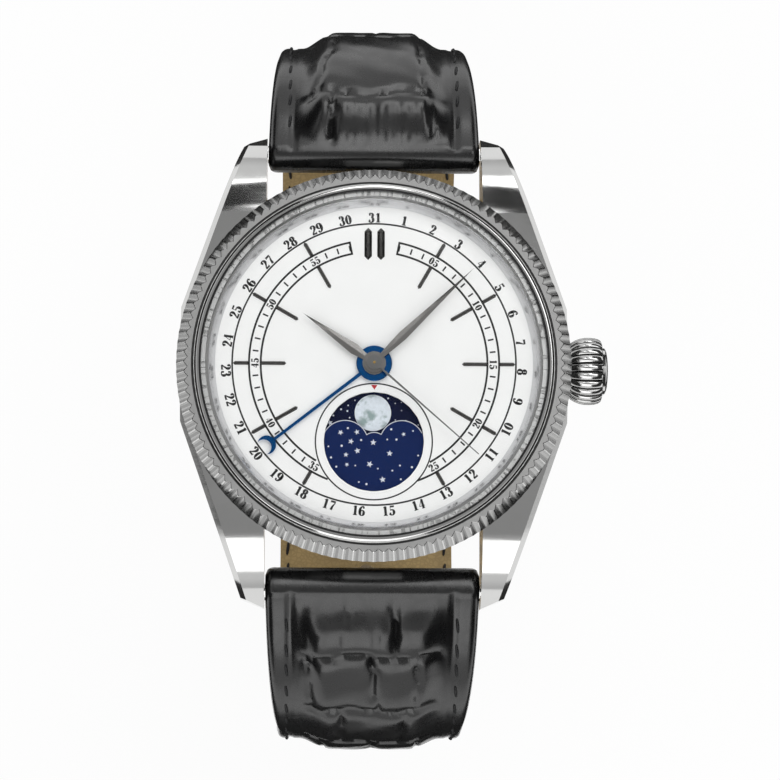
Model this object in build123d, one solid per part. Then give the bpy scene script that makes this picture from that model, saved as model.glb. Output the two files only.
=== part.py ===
from build123d import *
import math
import os

# A wristwatch with a moon phase window, a centre date hand and a fluted bezel, in millimetres.
# The origin is the middle of the case back's outer face, +Z points to the dial, +Y to 12 o'clock
# and +X to the crown.

# Overall case sizes.
bezel_diameter = 40.0
lug_gap = 22.0
lug_to_lug = 48.6
back_flange_height = 0.9
bezel_seat_z = 8.3
cut_overrun = 1.0
sides_by_radius = ((10.0, 40), (3.0, 24), (1.0, 14), (0.5, 8), (0, 6))
running_gap = 0.06
part_gap = 0.05

# Lugs and band of the mid case.
lug_corner_x = 13.4
lug_corner_y = 23.3
flank_x = 19.55
flank_y = 5.8
band_radius = 18.9
lug_crown_start_y = 15.6
lug_crown_radius = 9.2
lug_bevel_y = 23.2
lug_tip_height = 2.5
lug_foot_z = 0.45
lug_foot_start_y = 17.8
flank_chamfer = 0.5
collar_radius = 18.2
collar_height = 0.7

# Spring bars that hold the strap in the lugs.
bar_y = 22.6
bar_z = 2.6
bar_radius = 0.9
bar_pin_radius = 0.4
bar_pin_depth = 0.9

# Fluted bezel.
flute_count = 120
flute_depth = 0.42
flute_height = 1.6
flute_top_radius = 19.2
channel_radius = 18.3
channel_drop = 0.15
ring_inner_radius = 17.6
ring_top_height = 2.05
ring_flat_radius = 17.8
ring_steps = 4
channel_outer_radius = 18.42
crystal_ledge_radius = 17.0
crystal_ledge_height = 1.7

# Crystal.
crystal_radius = 17.45
crystal_edge_thickness = 0.75
crystal_thickness = 1.1
crystal_inner_rise = 0.45
crystal_bevel = 0.25
crystal_steps = 4

# Dial and its sloping inner ring.
dial_radius = 16.6
dial_thickness = 0.4
dial_z = 8.45
window_radius = 5.06
window_y = -7.9
dial_centre_hole = 1.25
slope_ring_foot_radius = 16.02
slope_ring_lip_radius = 16.62
slope_ring_radius = 16.7

# Applied hour marks.
mark_width = 0.38
mark_height = 0.17
inner_mark_start = 8.86
inner_mark_end = 11.55
outer_mark_start = 12.55
outer_mark_end = 14.25
twelve_mark_start = 10.6
twelve_mark_end = 13.9
twelve_mark_spread = 1.3
mark_ridge_share = 0.35

# Moon window.
hump_radius = 1.9
hump_x = 2.9
hump_y = 0.32
cover_edge_y = 0.85
cover_bridge_width = 3.2
cover_bridge_top = 0.72
cover_thickness = 0.22
moon_disc_radius = 5.45
moon_disc_thickness = 0.15
moon_disc_gap = 0.08
moon_teeth = 59
moon_module = 0.18
moon_hub_radius = 0.9
moon_post_radius = 0.4

# Hands: levels are the gaps from the dial face upwards.
hand_thickness = 0.12
hand_step = 0.28
first_hand_gap = 0.27
hour_hand_length = 8.8
minute_hand_length = 14.0
second_hand_length = 14.0
date_hand_length = 14.15
hour_hand_width = 1.12
minute_hand_width = 0.96
second_hand_width = 0.22
date_stem_width = 0.34
date_hub_radius = 1.8
hour_hub_radius = 1.2
minute_hub_radius = 1.0
second_hub_radius = 0.8
date_crescent_radius = 0.95
date_crescent_bite = 0.8
date_crescent_shift = 0.42
blade_widest_share = 0.28
blade_root_share = 0.45
blade_ridge_share = 0.08
needle_tip_share = 0.45
hour_hand_angle = 305.0
minute_hand_angle = 46.0
second_hand_angle = 131.3
date_hand_day = 20
days_on_dial = 31

# Pipes at the centre, from the inside outwards.
seconds_arbor_radius = 0.15
pipe_wall = 0.17
hour_pipe_wall = 0.18
date_pipe_wall = 0.2

# Movement levels.
plate_radius = 14.7
plate_z = 5.85
plate_top_z = 7.2
pillar_inner_radius = 13.5
bridge_z = 2.45
bridge_top_z = 3.6
bridge_radius = 14.6
holder_lip_radius = 13.9
case_bore_radius = 16.2
calendar_gap = 0.08
gear_thickness = 0.18
tooth_tip_share = 0.8
tooth_root_share = 1.1
movement_window_share = 1.15

# Train: places are angles about the centre, with the teeth set by module.
train_module = 0.13
seconds_teeth = 60
escape_pinion_teeth = 6
third_teeth = 48
fourth_pinion_teeth = 6
centre_teeth = 45
third_pinion_teeth = 6
barrel_teeth = 48
great_pinion_teeth = 6
train_centre_distance = 3.5
escape_distance = 3.63
great_distance = 4.6
barrel_distance = 8.3
barrel_mesh_distance = 4.95
third_direction = 125.0
great_direction = 76.1
barrel_direction = 45.2
escape_direction = 205.0
balance_direction = 190.0
balance_distance = 8.4
arbor_radius = 0.18
pivot_radius = 0.1
jewel_radius = 0.55
jewel_thickness = 0.3
escape_teeth = 15
escape_radius = 1.9
escape_root_share = 0.78
escape_lead_share = 0.35
stone_spread_share = 0.55
fork_distance = 2.65
fork_bridge_length = 4.2
balance_radius = 4.0
balance_rim_width = 0.55
balance_rim_height = 0.35
balance_arm_width = 0.6
balance_screw_count = 8
hairspring_inner = 0.55
hairspring_pitch = 0.56
hairspring_turns = 4
hairspring_width = 0.1
hairspring_height = 0.15

# Winding work.
stem_z = 3.9
stem_radius = 0.6
stem_inner_x = 5.0
stem_groove_share = 0.7
crown_wheel_x = 7.3
crown_wheel_teeth = 24
ratchet_teeth = 35
winding_wheel_thickness = 0.33
winding_wheel_z = 2.08
winding_pinion_radius = 1.42
winding_pinion_start = 9.1
winding_pinion_length = 1.5
clutch_radius = 1.0
clutch_length = 1.4
winding_teeth = 12

# Motion work under the dial.
motion_module = 0.18
cannon_teeth = 10
minute_wheel_teeth = 30
minute_pinion_teeth = 8
hour_wheel_teeth = 32
minute_wheel_direction = 60.0
date_star_radius = 5.6
date_star_depth = 0.7

# Rotor.
rotor_z = 1.55
rotor_thickness = 0.3
rotor_rim_height = 0.7
rotor_rim_inner = 12.3
rotor_radius = 14.25
rotor_hub_radius = 2.6
rotor_bearing_radius = 1.5
rotor_rest_angle = 180.0
rotor_slot_width = 3.0

# Case back with its window.
back_flange_radius = 17.5
back_thread_radius = 15.9
back_thread_top = 2.3
back_ring_inner = 14.75
back_window_radius = 13.3
back_ledge_radius = 12.5
back_glass_thickness = 1.1
back_ledge_thickness = 0.32
back_notch_count = 6
back_notch_width = 2.4
back_notch_depth = 0.55
back_notch_radial = 1.3
back_gasket_width = 0.5
back_gasket_height = 0.3

# Crown.
crown_lobes = 22
crown_radius = 3.45
crown_lobe_depth = 0.3
crown_start_x = 19.95
crown_end_x = 23.3
crown_cap_x = 24.0
crown_foot_radius = 2.75
crown_cap_radius = 2.45
crown_shoulder_radius = 3.15
crown_rim_share = 0.25
crown_widest_share = 0.5
crown_edge_share = 0.85
lobe_shares = ((-0.5, 1), (-0.25, 0.25), (0, 0), (0.25, 0.25))
crown_recess_depth = 1.35
crown_recess_radius = 1.62
crown_travel = 1.2
tube_radius = 1.2
tube_bore_radius = 0.67
tube_end_x = 20.75
crown_gasket_length = 0.6

# Corrector pushers in the flanks.
corrector_radius = 0.75
corrector_y = -7.4
corrector_z = 5.0
corrector_stem_radius = 0.4
corrector_head_length = 0.8
corrector_travel = 0.6
corrector_recess = 0.85

# Strap: a path in the Y-Z plane, from the spring bar round the wrist to the buckle.
strap_side_y = 35.8
strap_side_z = -14.0
strap_under_radius = 27.0
strap_width = 21.8
strap_buckle_width = 20.0
strap_taper_z = -12.0
leather_outer = 1.6
leather_inner = 0.2
lining_inner = 1.1
pad_rise = 1.2
pad_width = 15.8
pad_under_angle = 44.0
strap_roll_radius = 1.85
strap_bend_step = 7.5
heel_bar_y = 1.0
heel_bar_radius = 0.75
heel_loop_radius = 1.75
tail_shift = 3.3
tail_bend_radius = 5.0
tail_bend_angle = 28.0
tail_wrap_angle = 44.0
tail_tip_length = 6.0
tail_tip_width = 8.0
hole_radius = 0.9
hole_pitch_angle = 13.0
hole_count_each_side = 3
keeper_wall = 1.1
keeper_width = 4.6
keeper_gap = 0.35
fixed_keeper_y = 7.0
free_keeper_angle = 62.0

# Buckle.
frame_bar_radius = 1.0
frame_length = 11.6
frame_clearance = 0.15
frame_inner_width = 21.0
frame_arm_width = 1.7
ear_radius = 1.5
tongue_width = 1.7
tongue_thickness = 1.0
tongue_hub_radius = 1.5
tongue_overhang = 1.6
tongue_slot_width = 2.3
tongue_slot_start = -7.7
tongue_slot_end = -1.2

# Worked-out levels and radii.
bezel_radius = bezel_diameter / 2
lug_tip_y = lug_to_lug / 2
strap_half_width = strap_width / 2
dial_face_z = dial_z + dial_thickness
crystal_seat_z = bezel_seat_z + crystal_ledge_height
cover_z = dial_z - cover_thickness
moon_disc_z = cover_z - moon_disc_gap - moon_disc_thickness
date_star_z = moon_disc_z - calendar_gap - gear_thickness
hour_wheel_z = date_star_z - calendar_gap - gear_thickness
minute_wheel_z = hour_wheel_z - calendar_gap - gear_thickness
date_hand_z = dial_face_z + first_hand_gap
hour_hand_z = date_hand_z + hand_step
minute_hand_z = hour_hand_z + hand_step
second_hand_z = minute_hand_z + hand_step
centre_pipe_bore = seconds_arbor_radius + running_gap
centre_pipe_radius = centre_pipe_bore + pipe_wall
cannon_bore = centre_pipe_radius + running_gap
cannon_radius = cannon_bore + pipe_wall
hour_pipe_bore = cannon_radius + running_gap
hour_pipe_radius = hour_pipe_bore + hour_pipe_wall
date_pipe_bore = hour_pipe_radius + running_gap
date_pipe_radius = date_pipe_bore + date_pipe_wall
seconds_wheel_z = bridge_top_z + calendar_gap
third_wheel_z = seconds_wheel_z + gear_thickness + 2 * calendar_gap
centre_wheel_z = third_wheel_z + gear_thickness + 2 * calendar_gap
escape_wheel_z = centre_wheel_z + gear_thickness + 3 * calendar_gap
great_wheel_z = plate_z - 2 * calendar_gap - gear_thickness
balance_z = bridge_top_z + 2 * calendar_gap
hairspring_z = bridge_top_z - 2 * calendar_gap - hairspring_height
movement_window_radius = balance_radius * movement_window_share
strap_bottom_z = strap_side_z - strap_under_radius
strap_under_y = strap_side_y - strap_under_radius


def at_angle(distance, angle):
    """A point at a distance from the centre, its angle counter-clockwise from +X."""
    return (distance * math.cos(math.radians(angle)), distance * math.sin(math.radians(angle)))


def clock_angle(clockwise):
    """The counter-clockwise angle from +X of a direction given clockwise from 12 o'clock."""
    return 90 - clockwise


def round_face(radius, sides=None):
    """A many-sided face that stands for a circle, with more sides on larger ones."""
    if sides is None:
        sides = next(count for least, count in sides_by_radius if radius >= least)
    return RegularPolygon(radius, sides)


def disc(radius, low, high, centre=(0, 0), sides=None):
    """An upright round solid between two levels."""
    shape = extrude(round_face(radius, sides), high - low)
    return Pos(centre[0], centre[1], low) * shape


def bore(radius, low, high, centre=(0, 0)):
    """A round hole whose sides, not its corners, stand at the radius, so that a shaft turns in it."""
    sides = next(count for least, count in sides_by_radius if radius >= least)
    return disc(radius / math.cos(math.pi / sides), low, high, centre, sides)


def ring(outer, inner, low, high, centre=(0, 0)):
    """An upright ring between two levels."""
    return disc(outer, low, high, centre) - disc(inner, low - cut_overrun, high + cut_overrun, centre)


def turned(levels, sides=None):
    """A turned solid through (radius, height) levels, from its foot to its top."""
    if sides is None:
        sides = next(count for least, count in sides_by_radius if levels[0][0] >= least)
    rings = []
    for radius, height in levels:
        rings.append([(*at_angle(radius, index * 360 / sides), height) for index in range(sides)])
    faces = [make_face(Polyline(*rings[0], close=True)), make_face(Polyline(*rings[-1], close=True))]
    for lower, upper in zip(rings, rings[1:]):
        for index in range(sides):
            following = (index + 1) % sides
            corners = (lower[index], lower[following], upper[following], upper[index])
            faces.append(make_face(Polyline(*corners, close=True)))
    return Solid(Shell(faces))


def arc_levels(foot, top, steps):
    """Levels of a quarter-round profile that leaves its foot upright and meets its top level."""
    levels = []
    for step in range(steps + 1):
        angle = math.radians(90 * step / steps)
        across = top[0] + (foot[0] - top[0]) * math.cos(angle)
        levels.append((across, foot[1] + (top[1] - foot[1]) * math.sin(angle)))
    return levels


def dome_levels(rim, top, steps):
    """Levels of a shallow dome from its rim to a small flat at its top."""
    levels = []
    for step in range(steps):
        share = 1 - step / steps
        levels.append((rim[0] * share, top - (top - rim[1]) * share ** 2))
    return levels


def box_between(low, high):
    """A block between two opposite corners."""
    size = [high[i] - low[i] for i in range(3)]
    middle = [(high[i] + low[i]) / 2 for i in range(3)]
    return Pos(*middle) * Box(*size)


def along_x(radius, start, end, y=0, z=0):
    """A round solid along X."""
    return Pos(start, y, z) * (Rot(0, 90, 0) * extrude(round_face(radius), end - start))


def gear_outline(teeth, tip_radius, root_radius, tooth_angle, centre=(0, 0)):
    """A toothed outline with one tooth centred at tooth_angle."""
    points = []
    for index in range(2 * teeth):
        radius = tip_radius if index % 2 == 0 else root_radius
        x, y = at_angle(radius, tooth_angle + index * 180 / teeth)
        points.append((centre[0] + x, centre[1] + y))
    return make_face(Polyline(*points, close=True))


def gear(teeth, pitch_radius, module, tooth_angle, low, thickness, centre=(0, 0)):
    """A spur wheel with straight-sided teeth."""
    outline = gear_outline(teeth, pitch_radius + tooth_tip_share * module, pitch_radius - tooth_root_share * module,
                           tooth_angle, centre)
    return Pos(0, 0, low) * extrude(outline, thickness)


def pitch_radii(distance, first_teeth, second_teeth):
    """Pitch radii and module of two wheels that mesh at a distance."""
    module = 2 * distance / (first_teeth + second_teeth)
    return first_teeth * module / 2, second_teeth * module / 2, module


def meshed_angle(driver_teeth, driver_angle, driven_teeth, line_angle):
    """Tooth angle of the driven wheel that puts its gap on the driver's tooth."""
    driver_phase = ((line_angle - driver_angle) * driver_teeth / 360) % 1
    return line_angle + 180 - (1 / 2 - driver_phase) * 360 / driven_teeth


def angle_between(start, end):
    """Direction from one centre to another, counter-clockwise from +X."""
    return math.degrees(math.atan2(end[1] - start[1], end[0] - start[0]))


third_centre = at_angle(train_centre_distance, third_direction)
great_centre = at_angle(great_distance, great_direction)
barrel_centre = at_angle(barrel_distance, barrel_direction)
escape_centre = at_angle(escape_distance, escape_direction)
balance_centre = at_angle(balance_distance, balance_direction)
minute_wheel_distance = motion_module * (cannon_teeth + minute_wheel_teeth) / 2
minute_wheel_centre = at_angle(minute_wheel_distance, minute_wheel_direction)


def mid_case():
    """Band and four lugs from one plan outline and one side profile."""
    corner = [(lug_gap / 2, lug_tip_y), (lug_corner_x, lug_corner_y), (flank_x, flank_y)]
    flank = [(x, -y) for x, y in reversed(corner)]
    right = corner + flank
    left = [(-x, -y) for x, y in right]
    plan = make_face(Polyline(*right, *left, close=True))
    belly = disc(math.hypot(flank_x, flank_y * flank_chamfer), back_flange_height, bezel_seat_z)
    blank = Pos(0, 0, lug_foot_z) * extrude(plan, bezel_seat_z - lug_foot_z)
    profile = lug_profile()
    belly &= box_between((-bezel_radius, -flank_y, 0), (bezel_radius, flank_y, bezel_radius))
    blank = (blank & profile) + belly
    blank = bevel_flanks(blank)
    blank -= strap_gaps()
    blank += disc(collar_radius, bezel_seat_z - part_gap, bezel_seat_z + collar_height)
    blank -= disc(case_bore_radius, 0, dial_z)
    blank -= disc(slope_ring_radius + part_gap, dial_z, bezel_radius)
    blank -= along_x(tube_radius, case_bore_radius - cut_overrun, bezel_radius, 0, stem_z)
    for side in (-1, 1):
        reach = lug_gap / 2 + bar_pin_depth + part_gap
        blank -= along_x(bar_pin_radius + part_gap, -reach, reach, side * bar_y, bar_z)
        blank -= corrector_bore(side)
    return blank


def lug_profile():
    """Side profile of case and lugs, drawn in Y and Z and run across the whole width."""
    arc_z = bezel_seat_z - lug_crown_radius
    bevel_z = arc_z + math.sqrt(lug_crown_radius ** 2 - (lug_bevel_y - lug_crown_start_y) ** 2)
    middle = math.radians(90) - math.asin((lug_bevel_y - lug_crown_start_y) / lug_crown_radius) / 2
    mid_point = (lug_crown_start_y + lug_crown_radius * math.cos(middle),
                 arc_z + lug_crown_radius * math.sin(middle))
    outline = [
        Line((-cut_overrun, bezel_seat_z), (lug_crown_start_y, bezel_seat_z)),
        ThreePointArc((lug_crown_start_y, bezel_seat_z), mid_point, (lug_bevel_y, bevel_z)),
        Line((lug_bevel_y, bevel_z), (lug_tip_y, lug_tip_height)),
        Line((lug_tip_y, lug_tip_height), (lug_tip_y, lug_foot_z)),
        Line((lug_tip_y, lug_foot_z), (lug_foot_start_y, back_flange_height)),
        Line((lug_foot_start_y, back_flange_height), (-cut_overrun, back_flange_height)),
        Line((-cut_overrun, back_flange_height), (-cut_overrun, bezel_seat_z)),
    ]
    half = extrude(Plane.YZ * make_face(outline), bezel_radius, both=True)
    return half + mirror(half, Plane.XZ)


def bevel_flanks(blank):
    """Chamfer the long outer top edges of the lugs."""
    edges = [edge for edge in blank.edges()
             if abs(edge.center().X) > lug_corner_x and edge.center().Z > lug_tip_height
             and flank_y < abs(edge.center().Y) < lug_corner_y and edge.length > 3 * flank_chamfer]
    return chamfer(edges, flank_chamfer)


def strap_gaps():
    """The two spaces between the lugs, with the round band left standing."""
    half_gap = lug_gap / 2
    gaps = box_between((-half_gap, -bezel_diameter, -cut_overrun), (half_gap, bezel_diameter, bezel_radius))
    return gaps - disc(band_radius, -cut_overrun, bezel_radius)


def corrector_bore(side):
    """Stepped bore for one corrector pusher."""
    head_seat = flank_x - corrector_recess - corrector_head_length - corrector_travel - 2 * part_gap
    start = case_bore_radius * math.cos(math.asin(corrector_y / case_bore_radius)) - cut_overrun
    bore = along_x(corrector_radius + part_gap, head_seat, bezel_radius + cut_overrun, 0, 0)
    bore += along_x(corrector_stem_radius + part_gap, start, bezel_radius, 0, 0)
    if side < 0:
        bore = mirror(bore, Plane.YZ)
    return Pos(0, corrector_y, corrector_z) * bore


def corrector(side):
    """Pusher with a flush head and a thin stem that reaches the calendar work."""
    face_x = flank_x - corrector_recess
    head = along_x(corrector_radius, face_x - corrector_head_length, face_x)
    stem = along_x(corrector_stem_radius, case_bore_radius - 2 * corrector_radius, face_x - corrector_head_length)
    pusher = head + stem
    if side < 0:
        pusher = mirror(pusher, Plane.YZ)
    return Pos(0, corrector_y, corrector_z) * pusher


def flute_polygon(ridge_radius, height):
    """Pleated outline of the bezel edge at one height, drawn in with its radius so that each facet is flat."""
    points = []
    for index in range(2 * flute_count):
        radius = ridge_radius * (1 if index % 2 == 0 else 1 - flute_depth / bezel_radius)
        points.append(at_angle(radius, index * 180 / flute_count))
    return Pos(0, 0, height) * make_face(Polyline(*points, close=True))


def bezel():
    """Fluted ring with a matte channel and a rounded polished ring that holds the crystal."""
    seat = bezel_seat_z
    flute_top = seat + flute_height
    channel_z = flute_top - channel_drop
    ring_top = seat + ring_top_height
    body = loft([flute_polygon(bezel_radius, seat), flute_polygon(flute_top_radius, flute_top)], ruled=True)
    body -= disc(channel_outer_radius, channel_z, flute_top + cut_overrun)
    crown_levels = arc_levels((channel_radius, channel_z), (ring_flat_radius, ring_top), ring_steps)
    body += turned([(channel_radius, seat + collar_height)] + crown_levels)
    body -= disc(ring_inner_radius, crystal_seat_z, bezel_radius)
    body -= disc(crystal_ledge_radius, 0, bezel_radius)
    return body - disc(collar_radius + part_gap, 0, seat + collar_height + part_gap)


def crystal():
    """Double-domed crystal with a bevelled edge."""
    seat = crystal_seat_z
    edge_top = seat + crystal_edge_thickness
    inner_top = seat + crystal_inner_rise
    rim = crystal_radius - crystal_bevel
    outside = [(crystal_radius, seat), (crystal_radius, edge_top - crystal_bevel)]
    outside += dome_levels((rim, edge_top), inner_top + crystal_thickness, crystal_steps)
    hollow = dome_levels((crystal_ledge_radius - part_gap, seat), inner_top, crystal_steps)
    return turned(outside) - turned(hollow)


def crystal_gasket():
    """Black seal between crystal and bezel."""
    return ring(ring_inner_radius, crystal_radius, crystal_seat_z, bezel_seat_z + ring_top_height)


def slope_ring():
    """Polished sloping ring between dial and crystal."""
    top = crystal_seat_z - part_gap
    return disc(slope_ring_radius, dial_face_z, top) - turned([(slope_ring_foot_radius, dial_face_z),
                                                               (slope_ring_lip_radius, top)])


def dial():
    """White dial with the moon window and the centre hole."""
    plate = disc(dial_radius, dial_z, dial_face_z)
    plate -= disc(window_radius, dial_z - cut_overrun, dial_face_z + cut_overrun, (0, window_y))
    return plate - disc(dial_centre_hole, dial_z - cut_overrun, dial_face_z + cut_overrun)


def blade_mark(start, end, width):
    """Pointed bar with a ridge, lying along +X on the dial."""
    tip = width / 2

    def outline(share, height):
        half = width * share / 2
        points = [(start + tip * (1 - share), 0), (start + tip, half), (end - tip, half),
                  (end - tip * (1 - share), 0), (end - tip, -half), (start + tip, -half)]
        return Pos(0, 0, height) * make_face(Polyline(*points, close=True))

    return loft([outline(1, dial_face_z), outline(mark_ridge_share, dial_face_z + mark_height)], ruled=True)


def hour_marks():
    """Split marks beside the minute track, with a plain pair at 12 o'clock."""
    marks = []
    for hour in (1, 2, 3, 4, 5, 7, 8, 9, 10, 11):
        turn = Rot(0, 0, clock_angle(hour * 30))
        marks.append(turn * blade_mark(outer_mark_start, outer_mark_end, mark_width))
        if hour not in (5, 7):
            marks.append(turn * blade_mark(inner_mark_start, inner_mark_end, mark_width))
    for side in (-1, 1):
        pair = Rot(0, 0, 90) * blade_mark(twelve_mark_start, twelve_mark_end, 2 * mark_width)
        marks.append(Pos(side * twelve_mark_spread / 2, 0, 0) * pair)
    return marks


def moon_cover():
    """Star plate below the window, with the two humps that hide the moon."""
    rim = window_radius + part_gap * 4
    plate = disc(rim, cover_z, dial_z, (0, window_y))
    plate -= box_between((-rim, window_y + cover_edge_y - hump_y, cover_z - cut_overrun),
                         (rim, window_y + rim + cut_overrun, dial_z + cut_overrun))
    for side in (-1, 1):
        hump = disc(hump_radius, cover_z, dial_z, (side * hump_x, window_y + hump_y))
        plate += hump & disc(rim, cover_z, dial_z, (0, window_y))
    half_bridge = cover_bridge_width / 2
    bridge_low = (-half_bridge, window_y - hump_y, cover_z)
    plate += box_between(bridge_low, (half_bridge, window_y + cover_bridge_top, dial_z))
    return plate


def moon_disc():
    """Toothed disc that carries two moons and turns on a post of the main plate."""
    centre = (0, window_y)
    wheel = gear(moon_teeth, moon_disc_radius, moon_module, 0, moon_disc_z, moon_disc_thickness, centre)
    wheel += disc(moon_hub_radius, moon_disc_z - calendar_gap - gear_thickness, moon_disc_z, centre)
    top_z = moon_disc_z + moon_disc_thickness / 2
    return wheel - bore(moon_post_radius + running_gap, plate_top_z, top_z, centre)


def hand_blade(length, width, hub_radius, bore_radius, low, angle):
    """Faceted leaf hand with a round hub."""
    root = hub_radius * blade_root_share
    widest = length * blade_widest_share

    def outline(share, height):
        half = width * share / 2
        points = [(root, half * blade_root_share), (widest, half), (length, 0), (widest, -half),
                  (root, -half * blade_root_share)]
        return Pos(0, 0, height) * make_face(Polyline(*points, close=True))

    half_height = hand_thickness / 2
    blade = Pos(0, 0, low) * extrude(outline(1, 0), half_height)
    blade += loft([outline(1, low + half_height), outline(blade_ridge_share, low + hand_thickness)], ruled=True)
    hand = Rot(0, 0, clock_angle(angle)) * (blade + disc(hub_radius, low, low + hand_thickness))
    return hand - disc(bore_radius, low - cut_overrun, low + cut_overrun)


def hour_hand():
    """Hour hand on the hour pipe."""
    return hand_blade(hour_hand_length, hour_hand_width, hour_hub_radius, hour_pipe_radius, hour_hand_z,
                      hour_hand_angle)


def minute_hand():
    """Minute hand on the cannon pinion."""
    return hand_blade(minute_hand_length, minute_hand_width, minute_hub_radius, cannon_radius, minute_hand_z,
                      minute_hand_angle)


def second_hand():
    """Thin needle with a round hub and no tail."""
    half = second_hand_width / 2
    needle = make_face(Polyline((0, half), (second_hand_length, half * needle_tip_share),
                                (second_hand_length, -half * needle_tip_share), (0, -half), close=True))
    flat = Pos(0, 0, second_hand_z) * extrude(needle, hand_thickness / 2)
    hand = Rot(0, 0, clock_angle(second_hand_angle)) * flat
    hand += disc(second_hub_radius, second_hand_z, second_hand_z + hand_thickness / 2)
    return hand - disc(seconds_arbor_radius, second_hand_z - cut_overrun, second_hand_z + cut_overrun)


def date_hand():
    """Blue date hand with a ring hub and a crescent tip that opens outwards."""
    crescent_x = date_hand_length - date_crescent_radius + date_crescent_shift
    low, high = date_hand_z, date_hand_z + hand_thickness
    stem = box_between((date_pipe_radius, -date_stem_width / 2, low),
                       (crescent_x - date_crescent_bite, date_stem_width / 2, high))
    crescent = disc(date_crescent_radius, low, high, (crescent_x, 0))
    crescent -= disc(date_crescent_bite, low - cut_overrun, high + cut_overrun,
                     (crescent_x + date_crescent_shift, 0))
    angle = 360 * date_hand_day / days_on_dial
    hand = Rot(0, 0, clock_angle(angle)) * (stem + crescent + disc(date_hub_radius, low, high))
    return hand - disc(date_pipe_radius, low - cut_overrun, high + cut_overrun)


def seconds_wheel():
    """Fourth wheel whose long arbor carries the second hand."""
    seconds_pitch, _, module = pitch_radii(escape_distance, seconds_teeth, escape_pinion_teeth)
    wheel = gear(seconds_teeth, seconds_pitch, module, seconds_angle, seconds_wheel_z, gear_thickness)
    _, pinion_pitch, pinion_module = pitch_radii(train_centre_distance, third_teeth, fourth_pinion_teeth)
    wheel += gear(fourth_pinion_teeth, pinion_pitch, pinion_module, fourth_pinion_angle,
                  seconds_wheel_z + gear_thickness, gear_thickness + 3 * calendar_gap)
    return wheel + disc(seconds_arbor_radius, bridge_top_z - jewel_thickness, second_hand_z + hand_thickness)


def centre_wheel():
    """Wheel and pipe that turn once an hour and drive the minute hand by friction."""
    pitch, _, module = pitch_radii(train_centre_distance, centre_teeth, third_pinion_teeth)
    wheel = gear(centre_teeth, pitch, module, centre_angle, centre_wheel_z, gear_thickness)
    wheel += disc(centre_pipe_radius, centre_wheel_z, minute_hand_z - hand_step)
    return wheel - bore(centre_pipe_bore, centre_wheel_z - cut_overrun, minute_hand_z)


def third_wheel():
    """Third wheel and its long pinion."""
    pitch, _, module = pitch_radii(train_centre_distance, third_teeth, fourth_pinion_teeth)
    wheel = gear(third_teeth, pitch, module, third_angle, third_wheel_z, gear_thickness, third_centre)
    _, pinion_pitch, pinion_module = pitch_radii(train_centre_distance, centre_teeth, third_pinion_teeth)
    top = great_wheel_z + gear_thickness
    start = third_wheel_z + gear_thickness
    wheel += gear(third_pinion_teeth, pinion_pitch, pinion_module, third_pinion_angle, start, top - start,
                  third_centre)
    return wheel + disc(pivot_radius, bridge_top_z - jewel_thickness, plate_z + jewel_thickness, third_centre)


def great_wheel():
    """Wheel between barrel and third pinion."""
    pitch, _, module = pitch_radii(train_centre_distance, centre_teeth, third_pinion_teeth)
    wheel = gear(centre_teeth, pitch, module, great_angle, great_wheel_z, gear_thickness, great_centre)
    _, pinion_pitch, pinion_module = pitch_radii(barrel_mesh_distance, barrel_teeth, great_pinion_teeth)
    wheel += gear(great_pinion_teeth, pinion_pitch, pinion_module, great_pinion_angle, seconds_wheel_z,
                  gear_thickness, great_centre)
    wheel += disc(arbor_radius, seconds_wheel_z, great_wheel_z, great_centre)
    return wheel + disc(pivot_radius, bridge_top_z - jewel_thickness, plate_z + jewel_thickness, great_centre)


def barrel():
    """Spring barrel: toothed drum with a lid step, closed over its mainspring."""
    pitch, _, module = pitch_radii(barrel_mesh_distance, barrel_teeth, great_pinion_teeth)
    drum = gear(barrel_teeth, pitch, module, barrel_angle, seconds_wheel_z, gear_thickness, barrel_centre)
    wall_radius = pitch - 2 * module
    drum += disc(wall_radius, seconds_wheel_z, great_wheel_z - 2 * calendar_gap, barrel_centre)
    return drum - bore(2 * arbor_radius + running_gap, 0, plate_top_z, barrel_centre)


def barrel_arbor():
    """Arbor through the barrel that the ratchet wheel turns."""
    arbor = disc(2 * arbor_radius, winding_wheel_z, plate_z + jewel_thickness, barrel_centre)
    return arbor


def escape_wheel():
    """Fifteen hooked teeth on an arbor with a small pinion."""
    points = []
    pitch_angle = 360 / escape_teeth
    for index in range(escape_teeth):
        angle = index * pitch_angle
        points.append(at_angle(escape_radius, angle))
        points.append(at_angle(escape_radius * escape_root_share, angle + pitch_angle * escape_lead_share / 2))
        points.append(at_angle(escape_radius * escape_root_share, angle + pitch_angle * (1 - escape_lead_share)))
    outline = make_face(Polyline(*points, close=True))
    x, y = escape_centre
    wheel = Pos(x, y, escape_wheel_z) * extrude(outline, gear_thickness)
    _, pinion_pitch, module = pitch_radii(escape_distance, seconds_teeth, escape_pinion_teeth)
    wheel += gear(escape_pinion_teeth, pinion_pitch, module, escape_pinion_angle, seconds_wheel_z,
                  gear_thickness, escape_centre)
    wheel += disc(arbor_radius, seconds_wheel_z, escape_wheel_z, escape_centre)
    return wheel + disc(pivot_radius, bridge_top_z - jewel_thickness, plate_z + jewel_thickness, escape_centre)


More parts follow.
